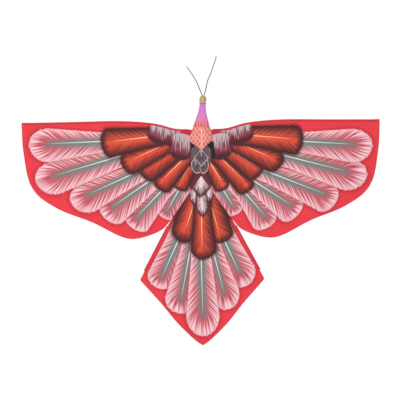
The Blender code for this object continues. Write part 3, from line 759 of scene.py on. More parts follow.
for side_name in SIDES:
    ring = wing_outline(side_name)
    print(side_name, "wing has", len(ring), "corners, tip edge at", round(max(abs(p.x) for p in ring), 4))


# %% [markdown]
# A border strip as wide as a hem is set in round each panel before the grid is cut. It carries
# a number, 0 on the cut edge and 1 inside, that the material reads to draw the hem and its
# stitches. The hem is drawn darker towards the cut edge, partly for the doubled cloth and partly
# as painted shade of the fold.

# %% Cutting a panel into a grid
CELL = 0.011
HEM = 0.005


def sewn(vert):
    """Whether a corner lies on the spine or in the point of the V, where there is no free edge."""
    return abs(vert.co.x) < 0.001 and vert.co.z > APEX.y - 0.02


def cut_panel(name, ring):
    """A flat panel facing -Y, with its flat places in metres in its UV map."""
    bm = bmesh.new()
    face = bm.faces.new([bm.verts.new((p.x, 0.0, p.y)) for p in ring])
    face.normal_update()
    if face.normal.y > 0:
        face.normal_flip()
    edge = bm.verts.layers.float.new("edge")
    bmesh.ops.inset_region(bm, faces=[face], thickness=HEM, use_boundary=True, use_even_offset=True)
    for vert in bm.verts:
        vert[edge] = 0.0 if vert.is_boundary and not sewn(vert) else 1.0
    for axis in (0, 2):
        low = min(v.co[axis] for v in bm.verts)
        high = max(v.co[axis] for v in bm.verts)
        normal = Vector((axis == 0, 0, axis == 2))
        for i in range(1, int((high - low) / CELL)):
            cut = normal * (low + i * CELL)
            everything = [*bm.verts, *bm.edges, *bm.faces]
            bmesh.ops.bisect_plane(bm, geom=everything, dist=2e-5, plane_co=cut, plane_no=normal)
    bmesh.ops.triangulate(bm, faces=[f for f in bm.faces if len(f.verts) > 4])
    places = bm.loops.layers.uv.new("cloth")
    for f in bm.faces:
        for loop in f.loops:
            loop[places].uv = (loop.vert.co.x, loop.vert.co.z)
    return object_from(bm, name)


panels = {
    "left": cut_panel("wing_cloth_left", wing_outline("left")),
    "right": cut_panel("wing_cloth_right", wing_outline("right")),
    "tail": cut_panel("tail_cloth", [*starting_at(tail_ring, Vector((-notch.x, notch.y))), APEX]),
}
for part, obj in panels.items():
    area = sum(p.area for p in obj.data.polygons)
    print(part, len(obj.data.polygons), "faces,", round(area, 4), "m2")

# %% [markdown]
# ## Hanging the cloth
#
# Nylon on a kite is pulled tight only where it is sewn or tied. Between those lines it hangs
# a little slack and falls into long shallow folds. A cloth simulation gives those folds: the
# vertices on the leading edge, the spine and the seams are pinned, the cloth is told that it is
# cut a little too large, and gravity pulls it down and slightly forward, off the sticks. The
# result is squeezed into the room between the sticks behind and the frame's limit in front.

# %% Cloth simulation
SLACK = 0.006
FRAMES = 26
ROOM_BEHIND = 0.0014
ROOM_IN_FRONT = 0.011
scene.gravity = (0.0, -0.9, -9.6)


def distance_to_line(point, a, b):
    """How far a point (x, z) is from the straight line between a and b."""
    share = max(0.0, min(1.0, (point - a).dot(b - a) / (b - a).length_squared))
    return (point - a.lerp(b, share)).length


def hang(obj, held_lines):
    """Lets a panel hang from these lines under gravity and keeps the shape it takes."""
    pins = obj.vertex_groups.new(name="held")
    for vert in obj.data.vertices:
        here = Vector((vert.co.x, vert.co.z))
        gap = min(distance_to_line(here, Vector(a), Vector(b)) for a, b in held_lines)
        if gap < 0.006:
            pins.add([vert.index], 1.0, "REPLACE")
    cloth = obj.modifiers.new("hang", "CLOTH")
    cloth.settings.quality = 6
    cloth.settings.mass = 0.05
    cloth.settings.tension_stiffness = 12
    cloth.settings.compression_stiffness = 12
    cloth.settings.shear_stiffness = 4
    cloth.settings.bending_stiffness = 0.12
    cloth.settings.shrink_min = -SLACK
    cloth.settings.vertex_group_mass = "held"
    cloth.settings.air_damping = 2.0
    cloth.collision_settings.use_collision = False
    cloth.point_cache.frame_start = 1
    cloth.point_cache.frame_end = FRAMES
    for frame_number in range(1, FRAMES + 1):
        scene.frame_set(frame_number)
    hung = bpy.data.meshes.new_from_object(obj.evaluated_get(bpy.context.evaluated_depsgraph_get()))
    fallen = [vert.co.y for vert in hung.vertices]
    obj.modifiers.remove(cloth)
    scene.frame_set(1)
    for vert, place in zip(obj.data.vertices, hung.vertices):
        slid = place.co - vert.co
        slid.x = 0.004 * math.tanh(slid.x / 0.004)
        slid.z = 0.004 * math.tanh(slid.z / 0.004)
        room = ROOM_BEHIND if slid.y > 0 else ROOM_IN_FRONT
        slid.y = room * math.tanh(slid.y / room)
        vert.co += slid
    print(obj.name, "fell", round(1000 * min(fallen), 1), "to", round(1000 * max(fallen), 1), "mm")


for side_name, way in SIDES.items():
    ring = wing_outline(side_name)
    leading = [p for p in ring if p.y > 0.035]
    tip_tie = next(p for p in reversed(ring) if abs(p.x) > 0.70 and p.y < 0.0)
    held = [*zip(leading, leading[1:]), ((0.0, 0.06), APEX), (APEX, (way * notch.x, notch.y))]
    held.append((tip_tie, tip_tie + Vector((0.0, 0.001))))
    hang(panels[side_name], held)
low = min(tail_ring, key=lambda p: p.y)
sides_of_tail = [(APEX, (way * corner.x, corner.y)) for way in (-1, 1)]
hang(panels["tail"], [*sides_of_tail, (APEX, low)])

# %% [markdown]
# The panels then get their paint and their real thickness. Solidify gives the back its own
# material. The frame's cloth lies with its front at the same depth, so the visual cloth takes
# its place there, and the frame's plates are hidden.

# %% Finish the panels
CLOTH = 0.0006
cloth_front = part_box("wing_sail_right")[0][1]
cloth_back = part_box("wing_sail_right")[1][1]
print("cloth plate from", cloth_front, "to", cloth_back)


def settle(obj):
    """Applies an object's modifiers, so that its mesh is final."""
    bpy.context.view_layer.update()
    final = bpy.data.meshes.new_from_object(obj.evaluated_get(bpy.context.evaluated_depsgraph_get()))
    obj.modifiers.clear()
    obj.data = final


for part, obj in panels.items():
    front, back = NYLON[part]
    obj.data.materials.append(front)
    obj.data.materials.append(back)
    in_front = CLOTH + 0.0002 if part == "tail" else 0.0
    obj.data.transform(Matrix.Translation((0.0, (cloth_front + cloth_back) / 2 - in_front, 0.0)))
    rounder = obj.modifiers.new("rounder", "SUBSURF")
    rounder.levels = rounder.render_levels = 1
    rounder.boundary_smooth = "PRESERVE_CORNERS"
    thick = obj.modifiers.new("thickness", "SOLIDIFY")
    thick.thickness = CLOTH
    thick.offset = 0.0
    thick.material_offset = 1
    thick.material_offset_rim = 1
    settle(obj)
    for face in obj.data.polygons:
        face.use_smooth = True
    print(part, "has", len(obj.data.polygons), "faces")

FOLD_REACH = 0.008
joints = {joint["name"]: joint for joint in frame["joints"]}
for part, obj in panels.items():
    corners = [Vector(c) for c in obj.bound_box]
    tall = max(c.z for c in corners) - min(c.z for c in corners)

for side_name, way in SIDES.items():
    hinge = joints[f"wing_fold_{side_name}"]
    middle = Vector(hinge["pos_m"])
    run = Vector(hinge["axis"])
    outward = Vector((way * abs(run.z), 0.0, abs(run.x)))
    reach = FOLD_REACH * outward
    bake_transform(panels[side_name])
    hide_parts(f"wing_sail_{side_name}")
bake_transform(panels["tail"])
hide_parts("tail_sail", "centre_sail")

# %% [markdown]
# ## Hems, sleeves and pockets
#
# The front edge of each wing is folded round a thin bamboo batten and stitched, which makes a
# sleeve. It is swept as a round section along the edge, drawn out below into the seam where the
# two layers meet, and its cloth is a little uneven along its length. The stitching shows only as
# an even pucker in the material's relief, because a stitch of 0.3 mm thread would be lost as a mesh.

# %% Sleeve along the leading edge
SLEEVE_TURN = 12


def sweep(name, points, section, closed=False):
    """Draws a section, a list of (out, up) places, along a path of points in metres."""
    bm = bmesh.new()
    rings = []
    for number, point in enumerate(points):
        before, after = points[max(number - 1, 0)], points[min(number + 1, len(points) - 1)]
        forward = (after - before).normalized()
        side = forward.cross(Vector((0.0, -1.0, 0.0))).normalized()
        shape = section(number / (len(points) - 1)) if callable(section) else section
        verts = [bm.verts.new(point + a * side + Vector((0.0, b, 0.0))) for a, b in shape]
        rings.append([bm.edges.new((u, v)) for u, v in zip(verts, verts[1:] + verts[:1])])
    for ring, following in zip(rings, rings[1:]):
        bmesh.ops.bridge_loops(bm, edges=ring + following)
    bmesh.ops.holes_fill(bm, edges=rings[0] + rings[-1], sides=0)
    bmesh.ops.recalc_face_normals(bm, faces=bm.faces)
    return object_from(bm, name, smooth=True)


def spread(points, gap):
    """The same path with its points evenly spaced, about gap apart."""
    lengths = [(b - a).length for a, b in zip(points, points[1:])]
    count = max(2, round(sum(lengths) / gap))
    placed = []
    for number in range(count + 1):
        left = sum(lengths) * number / count
        piece = 0
        while piece < len(lengths) - 1 and left > lengths[piece]:
            left -= lengths[piece]
            piece += 1
        placed.append(points[piece].lerp(points[piece + 1], min(1.0, left / lengths[piece])))
    return placed


def hem_material(name, code, along):
    """Folded red nylon, puckered at even steps along it; along is the angle that the hem runs at."""
    made, tree, shader = new_material(
        name, Roughness=0.66, Sheen_Weight=0.10, IOR=1.53, Specular_IOR_Level=0.25
    )
    place = object_place(tree)
    turned = add(tree, "ShaderNodeMapping", {"Vector": place, "Rotation": (0.0, along, 0.0)})
    parts = add(tree, "ShaderNodeSeparateXYZ", {0: turned})
    tone = add(tree, "ShaderNodeTexNoise", {"Vector": turned, "Scale": 60.0, "Detail": 3.0})
    red = coat(tree, tone.outputs[0], paint(code), paint("c92f3c"))
    pucker = calc(tree, "MULTIPLY", parts.outputs[0], 1400.0)
    pucker = calc(tree, "SINE", pucker)
    relief = calc(tree, "ADD", pucker, tone.outputs[0])
    surface(tree, shader, red, relief, 0.3, 0.0004)
    return made


hem_cloth = hem_material("folded_red_nylon", "e63a46", 0.0)


def sleeve_section(share):
    """A teardrop: round over the batten, drawn out into a seam below."""
    fat = HEM_RADIUS * (1.0 + 0.05 * noise.noise(Vector((share * 47.0, 0.0, 0.0))))
    shape = []
    for i in range(SLEEVE_TURN):
        turn = 2 * math.pi * i / SLEEVE_TURN
        drop = 2.3 if math.sin(turn) < -0.9 else 1.0
        flat = 0.35 if drop > 1 else 1.0
        shape.append((fat * math.sin(turn) * drop, -fat * math.cos(turn) * flat))
    return shape


for side_name, way in SIDES.items():
    edge = [p for p in wing_outline(side_name) if p.y > 0.035 and abs(p.x) > 0.049]
    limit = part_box(f"leading_sleeve_{side_name}")
    ends = sorted((limit[0][0], limit[1][0]), key=abs)
    path = spread([Vector((p.x, 0.0, p.y)) for p in edge], 0.006)
    path = [p for p in path if abs(ends[0]) <= abs(p.x) <= abs(ends[1])]
    path[0 if abs(path[0].x) > abs(path[-1].x) else -1].x = ends[1]
    if way > 0:
        path.reverse()
    sleeve = sweep(f"leading_hem_{side_name}", path, sleeve_section)
    sleeve.data.materials.append(hem_cloth)
    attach(sleeve, f"wing_{side_name}")
    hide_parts(f"leading_sleeve_{side_name}")
    print(sleeve.name, len(sleeve.data.polygons), "faces")

# %% [markdown]
# Each stick's end sits in a small pocket of folded cloth, so that it can't poke through. A
# pocket is a short sewn tube, round at its mouth and pressed flat at its closed end. It is spun
# from a profile that closes at its far end, and its cloth is rucked a little at random.

# %% Pockets on the stick ends
POCKET_WALL = 0.0006


def lathe(name, profile, steps=24):
    """Spins a profile of (radius, height) places round the Z axis; a radius of 0 closes it."""
    bm = bmesh.new()
    verts = [bm.verts.new((r, 0.0, h)) for r, h in profile]
    edges = [bm.edges.new(pair) for pair in zip(verts, verts[1:])]
    bmesh.ops.spin(bm, geom=verts + edges, cent=(0, 0, 0), axis=(0, 0, 1), angle=2 * math.pi,
                   steps=steps, use_merge=True)
    bmesh.ops.remove_doubles(bm, verts=bm.verts, dist=1e-6)
    bmesh.ops.recalc_face_normals(bm, faces=bm.faces)
    return object_from(bm, name, smooth=True)


def aim(start, end):
    """The matrix that lays the Z axis on the line from start to end."""
    turn = (end - start).to_track_quat("Z", "Y").to_matrix().to_4x4()
    return Matrix.Translation(start) @ turn


def ends_of(node):
    """The two ends of a long thin node's axis, from its mesh."""
    points = [v.co for v in nodes[node].data.vertices]
    middle = sum(points, Vector()) / len(points)
    far = max(points, key=lambda p: (p - middle).length)
    other = max(points, key=lambda p: (p - far).length)
    way = (other - far).normalized()
    spans = [(p - middle).dot(way) for p in points]
    first = [p for p, s in zip(points, spans) if s < min(spans) + 0.002]
    last = [p for p, s in zip(points, spans) if s > max(spans) - 0.002]
    return sum(first, Vector()) / len(first), sum(last, Vector()) / len(last)


def girth_of(node, start, end):
    """The node's greatest distance from the line between its ends."""
    way = (end - start).normalized()
    out = [v.co - start for v in nodes[node].data.vertices]
    return max((p - p.dot(way) * way).length for p in out)


def pocket(node, body, mouth):
    """A sewn pocket that stands for a node; mouth is a point near its open end."""
    start, end = sorted(ends_of(node), key=lambda p: (p - mouth).length)
    length, outer = (end - start).length, girth_of(node, start, end)
    inner = outer - POCKET_WALL
    profile = [(inner, 0.0), (outer, 0.0), (outer * 1.02, 0.001), (outer * 0.97, 0.003)]
    profile += [(outer, length * 0.45), (outer * 0.98, length * 0.8), (outer * 0.9, length * 0.95)]
    profile += [(0.0, length), (0.0, length - POCKET_WALL), (inner * 0.9, length * 0.93)]
    profile += [(inner, length * 0.5), (inner, 0.0)]
    obj = lathe(f"{node}_cloth", profile)
    for vert in obj.data.vertices:
        ruck = 1.0 + 0.03 * noise.noise(vert.co * 900.0)
        vert.co.x *= ruck
        vert.co.y *= ruck
    obj.data.transform(aim(start, end))
    obj.data.materials.append(hem_cloth)
    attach(obj, body)
    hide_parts(node)


for side_name, way in SIDES.items():
    pocket(f"leading_tip_pocket_{side_name}", f"wing_{side_name}", Vector((way * 0.5, 0.0, 0.08)))
    pocket(f"tail_corner_pocket_{side_name}", "tail", Vector((way * 0.1, 0.0, -0.3)))
pocket("tail_tip_pocket", "tail", Vector((0.0, 0.0, -0.3)))
print("pockets:", 5)

# %% [markdown]
# Behind the tail, a strip of the same nylon lies over each slanting stick and is sewn to the
# panel down both its sides. It is swept along the stick with a section that is flat at its
# stitched borders and arched over the stick.

# %% Casings over the tail sticks
CASING = [(-0.0105, 0.0008), (-0.0065, 0.0010), (-0.0036, 0.0036), (-0.0018, 0.0078), (0.0, 0.0084),
          (0.0018, 0.0078), (0.0036, 0.0036), (0.0065, 0.0010), (0.0105, 0.0008)]
CASING_WALL = 0.0005
BORDER_WALL = -0.0004
CASING_LEAN = 0.48
outer_side = [(a, b + (CASING_WALL if abs(a) < 0.003 else BORDER_WALL)) for a, b in reversed(CASING)]
casing_section = CASING + outer_side
for side_name, way in SIDES.items():
    low, high = sorted(ends_of(f"tail_hem_{side_name}"), key=lambda p: p.z)
    low.y = high.y = 0.0
    path = spread([high, low], 0.006)
    casing = sweep(f"tail_casing_{side_name}", path, casing_section)
    for vert in casing.data.vertices:
        vert.co.y += 0.00025 * noise.noise(vert.co * 160.0)
    folded = hem_material(f"folded_nylon_casing_{side_name}", "d93844", way * CASING_LEAN)
    casing.data.materials.append(folded)
    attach(casing, "tail")
    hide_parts(f"tail_hem_{side_name}")
    print(casing.name, len(casing.data.polygons), "faces")

# %% [markdown]
# ## The stuffed neck and breast
#
# The bird's neck is a bag of printed cloth filled with fluff. It is round where it stands above
# the wings, and below the shoulder line it lies on the kite as a half-round breast that runs
# down to a point. Rings of the right width and depth are stacked up the neck's leaning axis,
# and the back of the lower rings is laid flat against the cloth. A short cloth simulation with
# air pressure inside then rounds it the way stuffing does.

# %% Neck and breast
NECK_TURN = 32
NECK_EASE = 0.0008
BREAST_SHIFT = 0.0035
NECK_RINGS = [(0.1062, 0.0112), (0.1045, 0.0120), (0.1015, 0.0124), (0.098, 0.0126), (0.092, 0.0126),
              (0.083, 0.0137), (0.075, 0.0150), (0.066, 0.0168), (0.057, 0.0190), (0.048, 0.0219),
              (0.040, 0.0245), (0.031, 0.0272), (0.022, 0.0296), (0.012, 0.0330), (0.002, 0.0355)]
BREAST_RINGS = [(0.0515, 0.0385, 0.0288), (0.045, 0.0410, 0.0290), (0.037, 0.0445, 0.0290),
                (0.030, 0.0468, 0.0282), (0.020, 0.0490, 0.0264), (0.010, 0.0503, 0.0246),
                (0.002, 0.0475, 0.0226), (-0.005, 0.0415, 0.0200), (-0.012, 0.0340, 0.0170),
                (-0.020, 0.0240, 0.0132), (-0.028, 0.0140, 0.0090), (-0.034, 0.0068, 0.0055),
                (-0.0375, 0.0022, 0.0028)]
neck_low = Vector((0.003, 0.0, 0.056))
lean = math.radians(3.7)
neck_way = Vector((math.sin(lean), 0.0, math.cos(lean)))
flat_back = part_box("breast_pad")[1][1]
bm = bmesh.new()
neck_loops = []
for height, radius in NECK_RINGS:
    made = bmesh.ops.create_circle(bm, segments=NECK_TURN, radius=radius + NECK_EASE)
    middle = neck_low + height * neck_way
    for vert in made["verts"]:
        vert.co = middle + Vector((vert.co.x, 0.8 * vert.co.y, -vert.co.x * math.sin(lean)))
    neck_loops.append(made["verts"])
for height, half_width, depth in BREAST_RINGS:
    made = bmesh.ops.create_circle(bm, segments=NECK_TURN, radius=1.0)
    for vert in made["verts"]:
        shift = BREAST_SHIFT * max(0.0, height) / BREAST_RINGS[0][0]
        out = vert.co.x * (half_width - 0.0006) + shift
        forward = min(0.0, vert.co.y) * (depth - 0.0012)
        vert.co = Vector((out, flat_back - 0.0004 + forward, height))
    neck_loops.append(made["verts"])
rings = []
for loop in neck_loops:
    pairs = zip(loop, loop[1:] + loop[:1])
    rings.append([next(e for e in a.link_edges if e.other_vert(a) is b) for a, b in pairs])
for ring, following in zip(rings, rings[1:]):
    bmesh.ops.bridge_loops(bm, edges=ring + following)
bmesh.ops.holes_fill(bm, edges=rings[0] + rings[-1], sides=0)
bmesh.ops.recalc_face_normals(bm, faces=bm.faces)
neck = object_from(bm, "stuffed_neck")
print("neck rings:", len(neck_loops))


# %% Stuffing by air pressure
def stuff(obj, cap):
    """Blows a closed piece up like stuffing does, by no more than cap."""
    cloth = obj.modifiers.new("stuff", "CLOTH")
    cloth.settings.use_pressure = True
    cloth.settings.uniform_pressure_force = 4.0
    cloth.settings.effector_weights.gravity = 0.0
    cloth.settings.tension_stiffness = 20
    cloth.settings.bending_stiffness = 0.6
    cloth.collision_settings.use_collision = False
    for frame_number in range(1, 21):
        scene.frame_set(frame_number)
    blown = bpy.data.meshes.new_from_object(obj.evaluated_get(bpy.context.evaluated_depsgraph_get()))
    obj.modifiers.remove(cloth)
    scene.frame_set(1)
    most = 0.0
    for vert, place in zip(obj.data.vertices, blown.vertices):
        grown = place.co - vert.co
        most = max(most, grown.length)
        if vert.co.y < flat_back - 0.001 or vert.co.z > 0.056:
            vert.co += grown * min(1.0, cap / max(grown.length, 1e-9))
    print(obj.name, "swelled", round(1000 * most, 1), "mm, kept to", 1000 * cap)


stuff(neck, 0.0008)
rounder = neck.modifiers.new("rounder", "SUBSURF")
rounder.levels = rounder.render_levels = 2
settle(neck)
for face in neck.data.polygons:
    face.use_smooth = True
print("neck has", len(neck.data.polygons), "faces")

# %% [markdown]
# The neck's cloth is painted too. It is orchid at the top, blends through pink into red
# streaks, and ends in orange-pink scales that overlap like tiles, each with a cream rim, round
# a pale line down the breastbone. The scales are drawn by folding the surface into rows and
# shifting every second row by half a scale.

# %% Neck paint
SCALE_WIDTH = 0.017
SCALE_HEIGHT = 0.0125
WEDGE_GAP = 0.0065
SCALES_END = (0.069, 0.074)
NECK_BLEND = (0.06, 0.18)
NECK_COLOURS = [(0.0, "f08a80"), (1.0, "c874c4"), (0.10, "ee8f88"), (0.26, "ee8690"),
                (0.36, "e882a6"), (0.50, "de7fc8"), (0.75, "d878d4")]
neck_paint, tree, shader = new_material(
    "painted_neck_cloth", Roughness=0.6, Sheen_Weight=0.12, IOR=1.53, Specular_IOR_Level=0.25
)
place = object_place(tree)
centred = add(tree, "ShaderNodeMapping", {"Vector": place, "Location": (-0.003, 0.0, 0.0)})
wander = add(tree, "ShaderNodeTexNoise", {"Vector": centred, "Scale": 70.0, "Detail": 1.0})
wander = add(tree, "ShaderNodeVectorMath", {0: wander.outputs[1], 1: (0.5, 0.5, 0.5)}, operation="SUBTRACT")
wander = add(tree, "ShaderNodeVectorMath", {0: wander, "Scale": 0.012}, operation="SCALE")
loose = add(tree, "ShaderNodeVectorMath", {0: centred, 1: wander}, operation="ADD")
parts = add(tree, "ShaderNodeSeparateXYZ", {0: loose})
row = calc(tree, "DIVIDE", parts.outputs[2], SCALE_HEIGHT)
row_number = calc(tree, "FLOOR", row)
row_place = calc(tree, "FRACT", row)
shift = calc(tree, "MULTIPLY", row_number, 0.5)
column = calc(tree, "DIVIDE", parts.outputs[0], SCALE_WIDTH, shift)
column = calc(tree, "ADD", column, shift)
column = calc(tree, "FRACT", column)
column = calc(tree, "SUBTRACT", column, 0.5)
column = calc(tree, "ABSOLUTE", column)
edge_height = calc(tree, "MULTIPLY", column, 2.0)
edge_height = calc(tree, "SUBTRACT", row_place, edge_height)
edge_gap = calc(tree, "ABSOLUTE", edge_height)
rim = ease(tree, edge_gap, 0.22, 0.05)
speckle = add(tree, "ShaderNodeTexNoise", {"Vector": centred, "Scale": 260.0, "Detail": 2.0})
flesh = coat(tree, speckle.outputs[0], paint("f0837a"), paint("dd5a5c"))
scaled = coat(tree, rim, flesh, paint("fbc9ae"))
spine_gap = calc(tree, "ABSOLUTE", parts.outputs[0])
spine_line = slope(tree, spine_gap, 0.0024, 0.0010)
scaled = coat(tree, spine_line, scaled, paint("fcd6be"))
streak_place = add(tree, "ShaderNodeMapping", {"Vector": centred, "Scale": (95.0, 95.0, 14.0)})
streaks = add(tree, "ShaderNodeTexNoise", {"Vector": streak_place, "Scale": 1.0, "Detail": 2.0})
wedge = calc(tree, "PINGPONG", parts.outputs[0], WEDGE_GAP)
wedge_room = slope(tree, parts.outputs[2], 0.094, 0.058, 0.0042)
wedge = calc(tree, "SUBTRACT", wedge_room, wedge)
wedge_on = slope(tree, wedge, -0.0002, 0.0016, 0.85)
height = calc(tree, "MULTIPLY_ADD", streaks.outputs[0], 0.030, parts.outputs[2])
climb = slope(tree, height, *NECK_BLEND)
neck_shade = colour_ramp(tree, climb, *NECK_COLOURS)
over_scales = slope(tree, height, *SCALES_END)
streaked = coat(tree, wedge_on, neck_shade, paint("b83a48"))
neck_colour = coat(tree, over_scales, scaled, streaked)
surface(tree, shader, neck_colour, rim, 0.15, 0.0006)
neck.data.materials.append(neck_paint)
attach(neck, "body")
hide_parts("neck_cover", "breast_pad")
print("neck paint:", len(tree.nodes), "nodes")

# %% [markdown]
# ## Flexible tubes
#
# Where a wing or the tail folds, the stick is cut and its two ends are pushed into a short
# length of rubber tube, which bends like a hinge. The frame holds each tube as two halves. Here
# it is one straight tube with an open bore and rounded lips, in place of both halves.

# %% Rubber tubes
RUBBER_BORE = 0.74
rubber, tree, shader = new_material("black_rubber_tube", Roughness=0.5, IOR=1.52)
place = object_place(tree)
dust = add(tree, "ShaderNodeTexNoise", {"Vector": place, "Scale": 300.0, "Detail": 4.0})
rubber_tone = coat(tree, dust.outputs[0], paint("1d1b1b"), paint("3c3937"))
surface(tree, shader, rubber_tone)
rubber_rough = add(tree, "ShaderNodeMapRange", {0: dust.outputs[0], 3: 0.42, 4: 0.7})
tree.links.new(rubber_rough.outputs[0], shader.inputs["Roughness"])


def bent_tube(name, inner_node, outer_node):
    """One straight tube in place of two half tubes."""
    inner_ends, outer_ends = ends_of(inner_node), ends_of(outer_node)
    start = max(inner_ends, key=lambda p: min((p - q).length for q in outer_ends))
    end = max(outer_ends, key=lambda p: (p - start).length)
    length = (end - start).length
    outer = girth_of(inner_node, *inner_ends)
    inner = outer * RUBBER_BORE
    profile = [(inner, 0.0003), (inner + 0.0003, 0.0), (outer - 0.0003, 0.0), (outer, 0.0004)]
    profile += [(outer, length * i / 12) for i in range(1, 12)]
    profile += [(outer, length - 0.0004), (outer - 0.0003, length)]
    profile += [(inner + 0.0003, length), (inner, length - 0.0003)]
    profile += [(inner, length * i / 12) for i in range(11, 0, -1)] + [(inner, 0.0003)]
    obj = lathe(name, profile)
    obj.data.transform(aim(start, end))
    obj.data.materials.append(rubber)
    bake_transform(obj)
    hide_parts(inner_node, outer_node)
    print(name, round(1000 * length, 1), "mm long")


bent_tube("spine_tube", "spine_tube_upper", "spine_tube_lower")
for side_name in SIDES:
    bent_tube(f"wing_tube_{side_name}", f"wing_tube_inner_{side_name}", f"wing_tube_outer_{side_name}")
    bent_tube(f"stay_tube_{side_name}", f"stay_tube_upper_{side_name}", f"stay_tube_lower_{side_name}")
for side_name in SIDES:
    nodes[f"spar_cap_{side_name}"].material_slots[0].material = rubber

# %% [markdown]
# ## Thread
#
# The sticks are tied with waxed cotton thread, wound round several times and pulled tight. One
# turn after another is a coil, and the spin operator makes one when it is told to climb as it
# turns. Each coil is squeezed to the oval that it ties.

# %% Thread coils
thread, tree, shader = new_material("waxed_cotton_thread", Roughness=0.75, Sheen_Weight=0.2)
place = object_place(tree)
twist = add(
    tree,
    "ShaderNodeTexWave",
    {"Vector": place, "Scale": 900.0, "Distortion": 1.5},
    bands_direction="DIAGONAL",
)
thread_tone = coat(tree, twist.outputs[1], paint("e9e2d2"), paint("c9bda4"))
surface(tree, shader, thread_tone, twist.outputs[1], 0.4, 0.0001)


def coil(name, turns, thickness, half_width, half_depth, steps=20):
    """A coil of thread round the Z axis, centred on the origin."""
    bm = bmesh.new()
    section = bmesh.ops.create_circle(bm, segments=6, radius=thickness / 2)["verts"]
    bmesh.ops.rotate(bm, verts=section, cent=(0, 0, 0), matrix=Matrix.Rotation(math.radians(90), 3, "X"))
    bmesh.ops.translate(bm, verts=section, vec=(half_width, 0.0, -turns * thickness / 2))
    edges = list(bm.edges)
    bmesh.ops.spin(bm, geom=section + edges, cent=(0, 0, 0), axis=(0, 0, 1), angle=2 * math.pi * turns,
                   dvec=(0, 0, thickness / steps), steps=steps * turns, use_merge=False)
    bmesh.ops.holes_fill(bm, edges=[e for e in bm.edges if e.is_boundary], sides=0)
    bmesh.ops.scale(bm, vec=(1.0, half_depth / half_width, 1.0), verts=bm.verts)
    bmesh.ops.recalc_face_normals(bm, faces=bm.faces)
    obj = object_from(bm, name, smooth=True)
    obj.data.materials.append(thread)
    return obj


def middle_of(node):
    """The middle of a node's box and half its size."""
    low, high = (Vector(c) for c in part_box(node))
    return (low + high) / 2, (high - low) / 2


def tie_on(tie, body, node, place, turn=None):
    """Puts a coil in its place, where it stands for a node that moves with a body."""
    tie.data.transform(Matrix.Translation(place) @ (turn or Matrix.Identity(4)))
    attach(tie, body)
    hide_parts(node)


for number, body in ((1, "body"), (2, "body"), (3, "tail")):
    middle, half = middle_of(f"spine_tie_{number}")
    tie = coil(f"spine_tie_thread_{number}", 5, 0.0007, half.x, half.y)
    tie_on(tie, body, f"spine_tie_{number}", middle)
middle, half = middle_of("stay_lashing")
tie_on(coil("stay_lashing_thread", 6, 0.0008, half.x, half.y, steps=32), "body", "stay_lashing", middle)
middle, half = middle_of("hub_lashing")
for way, name in ((-1, "hub_lashing_rising"), (1, "hub_lashing_falling")):
    tie = coil(name, 5, 0.0007, half.x * 1.3, half.y + 0.0002 * (way + 1))
    tie_on(tie, "body", "hub_lashing", middle, Matrix.Rotation(math.radians(45 * way), 4, "Y"))

binding_thread, tree, shader = new_material("orchid_binding_thread", Roughness=0.7, Sheen_Weight=0.2)
place = object_place(tree)
twist = add(tree, "ShaderNodeTexNoise", {"Vector": place, "Scale": 700.0, "Detail": 2.0})
tone = coat(tree, twist.outputs[0], paint("c56a9e"), paint("8e4a5c"))
surface(tree, shader, tone)
middle, half = middle_of("neck_binding")
binding = coil("neck_binding_thread", 4, 0.0009, half.x - 0.0008, half.y - 0.0006, steps=32)
binding.data.materials[0] = binding_thread
tie_on(binding, "body", "neck_binding", middle, Matrix.Rotation(lean, 4, "Y"))
BEHIND_TIP = Vector((0.0, 0.0038, 0.0))
for side_name in SIDES:
    middle, half = middle_of(f"tip_tie_{side_name}")
    tie = coil(f"tip_tie_thread_{side_name}", 4, 0.0007, 0.0040, 0.0042)
    across = Matrix.Rotation(math.radians(90), 4, "Y")
    tie_on(tie, f"wing_{side_name}", f"tip_tie_{side_name}", middle + BEHIND_TIP, across)
print("coils of thread:", 9)

# %% [markdown]
# ## Bamboo, reed, gold and fluff
#
# The sticks are split bamboo, shaved round: straw-coloured, with fine dark fibres along them
# and a raised ring every 20 to 30 cm where a leaf grew. The fibres are a noise that is drawn out
# along the stick, so each direction of stick gets its own turned copy of the material.

# %% Bamboo
RING_GAP = 0.23


def bamboo(name, along):
    """Split bamboo whose fibres run at this angle from the X axis towards Z."""
    made, tree, shader = new_material(name, Roughness=0.5, IOR=1.5, Coat_Weight=0.08)
    place = object_place(tree)
    turned = add(tree, "ShaderNodeMapping", {"Vector": place, "Rotation": (0.0, along, 0.0)})
    fine = add(tree, "ShaderNodeMapping", {"Vector": turned, "Scale": (12.0, 1500.0, 1500.0)})
    fibre = add(tree, "ShaderNodeTexNoise", {"Vector": fine, "Scale": 1.0, "Detail": 3.0, "Roughness": 0.6})
    tone = add(tree, "ShaderNodeTexNoise", {"Vector": turned, "Scale": 14.0, "Detail": 2.0})
    light = coat(tree, tone.outputs[0], paint("dcc493"), paint("c9a768"))
    lined = slope(tree, fibre.outputs[0], 0.52, 0.70, 0.7)
    grained = coat(tree, lined, light, paint("8d6a3c"))
    length = add(tree, "ShaderNodeSeparateXYZ", {0: turned}).outputs[0]
    ring = calc(tree, "PINGPONG", length, RING_GAP)
    ring_on = slope(tree, ring, 0.0030, 0.0008)
    ringed = coat(tree, ring_on, grained, paint("7a5730"))
    relief = calc(tree, "MULTIPLY_ADD", ring_on, 3.0, fibre.outputs[0])
    surface(tree, shader, ringed, relief, 0.35, 0.0003)
    return made


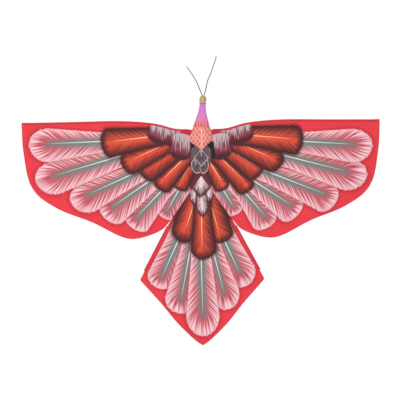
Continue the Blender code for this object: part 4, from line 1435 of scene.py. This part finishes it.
STAY_ANGLE = math.atan2(-0.88639, 0.46293)
level = bamboo("split_bamboo_level", 0.0)
upright = bamboo("split_bamboo_upright", math.radians(90))
slanting = {
    "right": bamboo("split_bamboo_slant_right", STAY_ANGLE),
    "left": bamboo("split_bamboo_slant_left", -STAY_ANGLE),
}
for node in ("spine_upper", "spine_lower", "neck_dowel"):
    nodes[node].material_slots[0].material = upright
nodes["hub_stick"].material_slots[0].material = level
for side_name in SIDES:
    for node in ("cross_spar", "leading_batten"):
        nodes[f"{node}_{side_name}"].material_slots[0].material = level
    for node in ("tail_stay", "tail_spar"):
        nodes[f"{node}_{side_name}"].material_slots[0].material = slanting[side_name]
print("bamboo sticks:", 11)

# %% [markdown]
# The head is a wooden bead in gold paint that has worn through to a darker ground. The two
# feelers are thin stiff reeds stained red-brown. The fluff inside the neck can't be seen, but it
# gets a soft fibrous look too, for anyone who takes the cover off.

# %% Bead, feelers and fluff
gold, tree, shader = new_material("worn_gold_paint", Roughness=0.42, Metallic=0.25)
place = object_place(tree)
worn = add(tree, "ShaderNodeTexNoise", {"Vector": place, "Scale": 190.0, "Detail": 5.0, "Roughness": 0.65})
gold_tone = colour_ramp(tree, worn, (0.35, "8a6a34"), (0.62, "dcb878"))
surface(tree, shader, gold_tone, worn.outputs[0], 0.35, 0.0005)
nodes["head_bead"].material_slots[0].material = gold

reed, tree, shader = new_material("stained_reed", Roughness=0.55)
place = object_place(tree)
long_place = add(tree, "ShaderNodeMapping", {"Vector": place, "Scale": (900.0, 900.0, 60.0)})
fibre = add(tree, "ShaderNodeTexNoise", {"Vector": long_place, "Scale": 1.0, "Detail": 3.0})
reed_tone = coat(tree, fibre.outputs[0], paint("7a2830"), paint("4e161c"))
surface(tree, shader, reed_tone, fibre.outputs[0], 0.3, 0.0002)
for side_name in SIDES:
    nodes[f"feeler_{side_name}"].material_slots[0].material = reed

fluff, tree, shader = new_material("polyester_fluff", Roughness=0.95, Sheen_Weight=0.4)
place = object_place(tree)
tufts = add(tree, "ShaderNodeTexNoise", {"Vector": place, "Scale": 120.0, "Detail": 8.0, "Roughness": 0.7})
fluff_tone = coat(tree, tufts.outputs[0], paint("d8d5ce"), paint("f6f4ef"))
surface(tree, shader, fluff_tone, tufts.outputs[0], 0.8, 0.002)
nodes["neck_stuffing"].material_slots[0].material = fluff
